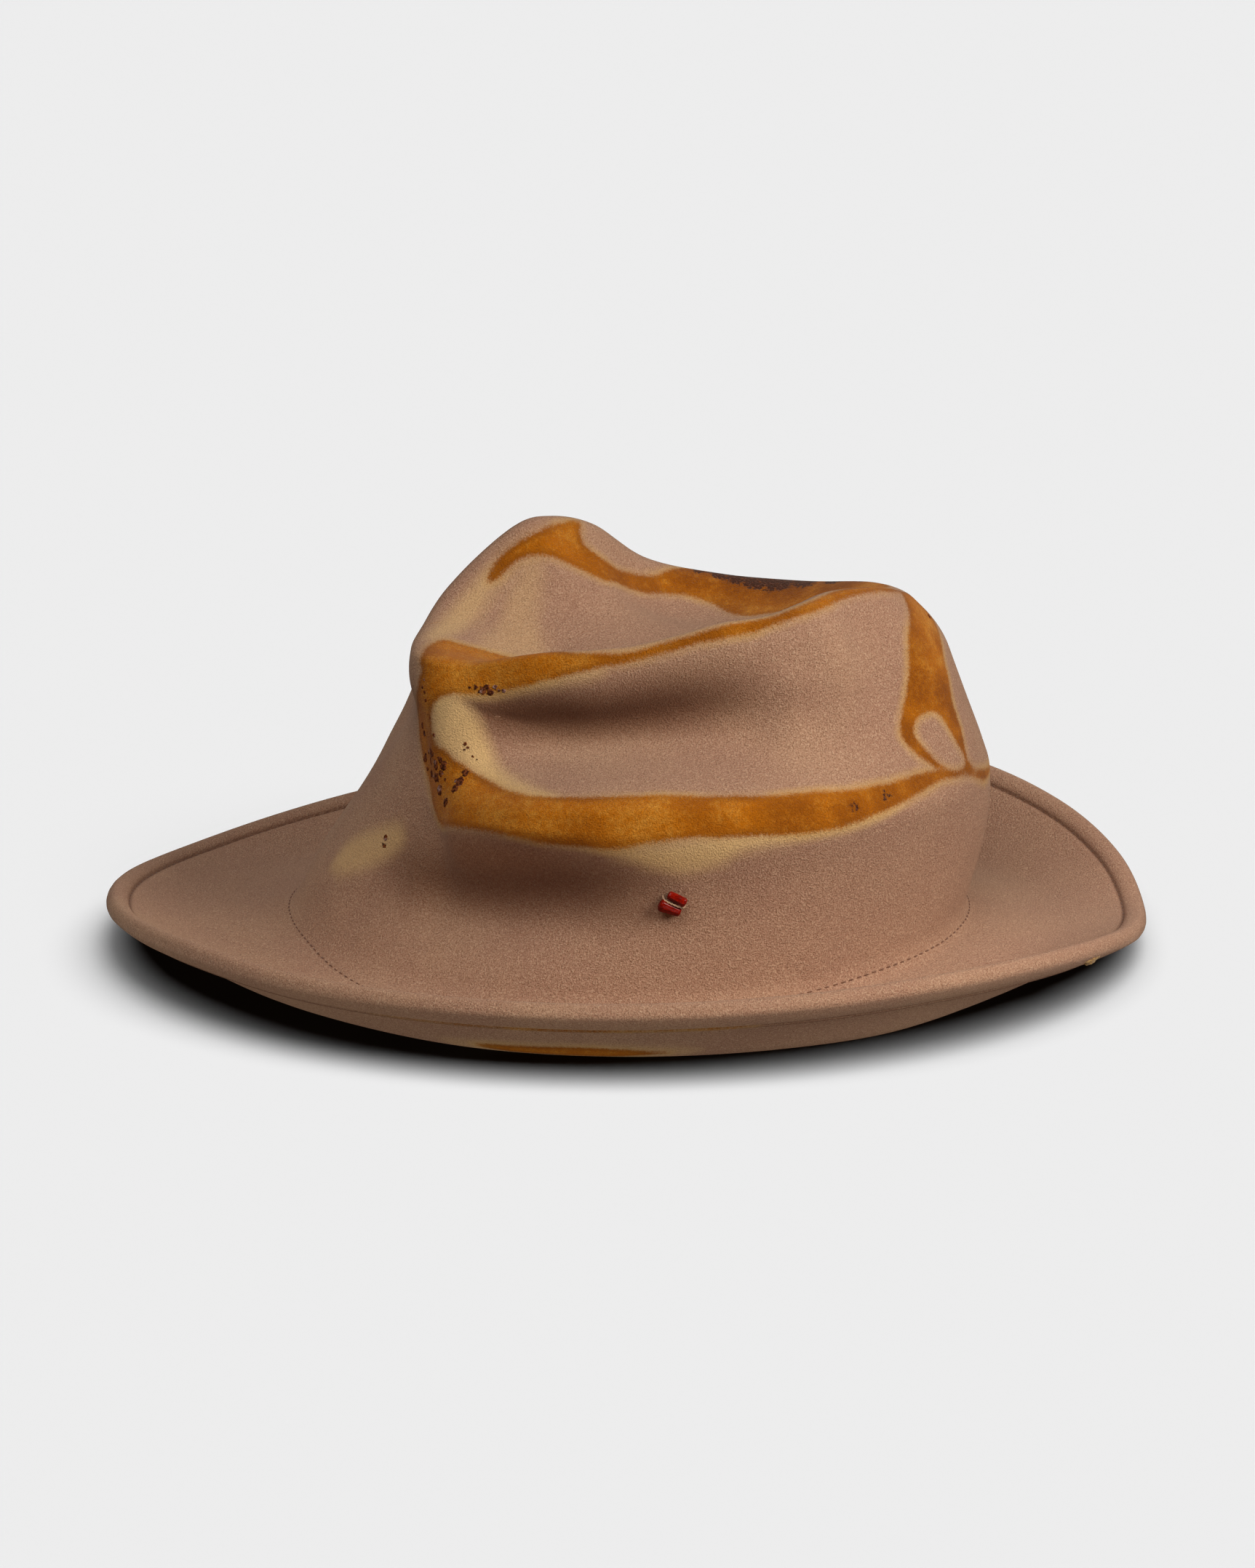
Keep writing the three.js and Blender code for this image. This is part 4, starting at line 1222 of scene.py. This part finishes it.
def bead_mesh(bead):
    """A glass bead lying along x with a hole through it: soft facets, round edges and a taper."""
    around = 40
    half = bead["length"] / 2
    edge = BEAD_EDGE * bead["width"]
    outer = [(-half + edge * (1 - math.cos(t)), bead["width"] / 2 - edge * (1 - math.sin(t)))
             for t in np.linspace(0, math.pi / 2, 6)]
    middle = [(x, bead["width"] / 2) for x in np.linspace(-half + edge, half - edge, 7)[1:-1]]
    left = [(-half + 0.5 * edge, BEAD_HOLE), (-half + 0.1 * edge, BEAD_HOLE * 1.35),
            (-half, BEAD_HOLE * 1.8)]
    right = [(-x, r) for x, r in reversed(left + outer)]
    profile = left + outer + middle + right
    deep = bead["thickness"] / bead["width"]
    sector = math.pi / bead["sides"]
    vertices = []
    for x, radius in profile:
        outside = max(radius - BEAD_HOLE, 0) / (bead["width"] / 2 - BEAD_HOLE)
        for angle in circle(around):
            facet = math.cos(sector) / math.cos(math.fmod(angle, 2 * sector) - sector)
            reach = radius * (1 + outside * (BEAD_FACET * (facet - 1) + bead["taper"] * x / half))
            spot = Vector((x * 700, math.cos(angle), math.sin(angle) + bead["way"]))
            wobble = 1 + BEAD_UNEVEN * outside * noise.noise(spot)
            vertices.append((x, reach * wobble * deep * math.cos(angle), reach * wobble * math.sin(angle)))
    return np.array(vertices), ring_faces(len(profile), around, closed=True)


def ways_across(path):
    """Each point of a path with two ways across it that don't turn about the path."""
    ways = unit(np.gradient(path, axis=0))
    across = np.cross(ways[0], (0.3, 0.8, 0.5))
    for point, way in zip(path, ways):
        across = unit(across - np.dot(across, way) * way)
        yield point, across, np.cross(way, across)


def tube(path, radius, sides=10):
    """A round tube along a path of points, closed at both ends."""
    vertices = []
    for point, across, other in ways_across(path):
        for angle in circle(sides):
            vertices.append(point + radius * (math.cos(angle) * across + math.sin(angle) * other))
    return vertices, tube_faces(len(path), sides)


def twisted(path, ply, twist, start):
    """One ply of a two-ply thread round a path."""
    moved = []
    for (point, across, other), length in zip(ways_across(path), lengths_along(path)):
        angle = start + 2 * math.pi * length / twist
        moved.append(point + ply * (math.cos(angle) * across + math.sin(angle) * other))
    return np.array(moved)


def build_beads(surface, glass, thread_material):
    """The two beads on their seat, and the thread that holds them down."""
    origin, along, outward, up = seat_frame(surface)
    pieces = []
    for bead in BEADS:
        vertices, faces = bead_mesh(bead)
        turned = math.radians(bead["turned"])
        x = vertices[:, 0] * math.cos(turned) - vertices[:, 1] * math.sin(turned) + bead["shift"]
        y = vertices[:, 0] * math.sin(turned) + vertices[:, 1] * math.cos(turned)
        y += BEAD_GAP + bead["thickness"] / 2 - min(0.0, y.min() + bead["thickness"] / 2)
        z = vertices[:, 2] + bead["way"] * (THREAD_SPACE + bead["width"]) / 2
        placed = origin + x[:, None] * along + y[:, None] * outward + z[:, None] * up
        piece = new_object(f"{bead['name']}_glass", placed, faces, glass)
        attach(piece, "root")
        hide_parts(bead["name"])
        pieces.append(piece)
    top = BEAD_GAP + BEADS[0]["thickness"] * THREAD_TOP
    reach = THREAD_REACH
    # Points that the thread passes: along the beads and out from the wall
    knots = [(-reach, -0.0006), (-reach + 0.0002, 0.0006), (-reach * 0.83, top * 0.78),
             (-reach * 0.45, top), (0.0, top * 1.02), (reach * 0.45, top), (reach * 0.85, top * 0.8),
             (reach, 0.0007), (reach + 0.0001, -0.0006)]
    shares = np.linspace(0, 1, len(knots))
    fine = np.linspace(0, 1, 90)
    smooth = [np.interp(fine, shares, values) for values in zip(*knots)]
    window = np.ones(7) / 7
    smooth = [np.concatenate([v[:3], np.convolve(v, window, "valid"), v[-3:]]) for v in smooth]
    path = origin + smooth[0][:, None] * along + smooth[1][:, None] * outward - 0.0001 * up
    vertices = []
    faces = []
    for start in (0.0, math.pi):
        ply, ply_faces = tube(twisted(path, THREAD_PLY * 0.85, THREAD_TWIST, start), THREAD_PLY)
        faces += [tuple(i + len(vertices) for i in face) for face in ply_faces]
        vertices += ply
    thread = new_object("bead_thread", vertices, faces, thread_material)
    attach(thread, "root")
    return [*pieces, thread]


def glass_material():
    """Deep red glass, glossy, with faint streaks in it."""
    n = Nodes("red_glass_gloss")
    streaks = n.noise(900, 3, 0.6, distortion=1.2)
    red = n.mix(n.smooth_step(streaks, 0.35, 0.7), colour("#5a0602"), colour("#861406"))
    dust = n.noise(2600, 2, 0.6)
    red = n.mix(n.smooth_step(dust, 0.62, 0.8, 0.0, 0.3), red, colour("#5a0805"))
    set_input(n.shader, "Base Color", red)
    set_input(n.shader, "Roughness", n.smooth_step(streaks, 0.3, 0.8, 0.05, 0.12))
    n.shader.inputs["IOR"].default_value = 1.45
    n.shader.inputs["Specular IOR Level"].default_value = 0.2
    set_input(n.shader, "Normal", n.bump(streaks, 0.05 * MM, 0.4))
    return n.material


def thread_material(name, tone, dark):
    """Matt cotton thread with its fibres."""
    n = Nodes(name)
    fibres = n.noise(4200, 3, 0.65)
    tint = n.mix(n.smooth_step(fibres, 0.3, 0.7), colour(dark), colour(tone))
    set_input(n.shader, "Base Color", tint)
    n.shader.inputs["Roughness"].default_value = 0.85
    n.shader.inputs["Sheen Weight"].default_value = 0.2
    set_input(n.shader, "Normal", n.bump(fibres, 0.1 * MM, 0.5))
    return n.material


def main():
    """Build the scene."""
    bpy.context.scene.view_settings.view_transform = "Standard"
    build_camera()
    floor = build_floor()
    surface = FeltSurface()
    felt, under_hem = build_felt(surface, felt_material())
    hat = [felt]
    hat += build_stitches(surface, under_hem, thread_material("seam_thread", "#7f4e2c", "#57331c"))
    hat.append(build_crusts(surface, crust_material()))
    hat.append(build_drip(surface, drip_material()))
    cotton = thread_material("bead_thread_cotton", "#c09a76", "#845f45")
    beads = build_beads(surface, glass_material(), cotton)
    hat += beads
    build_lamps({"hat": hat, "beads": beads, "floor": [floor]})


main()
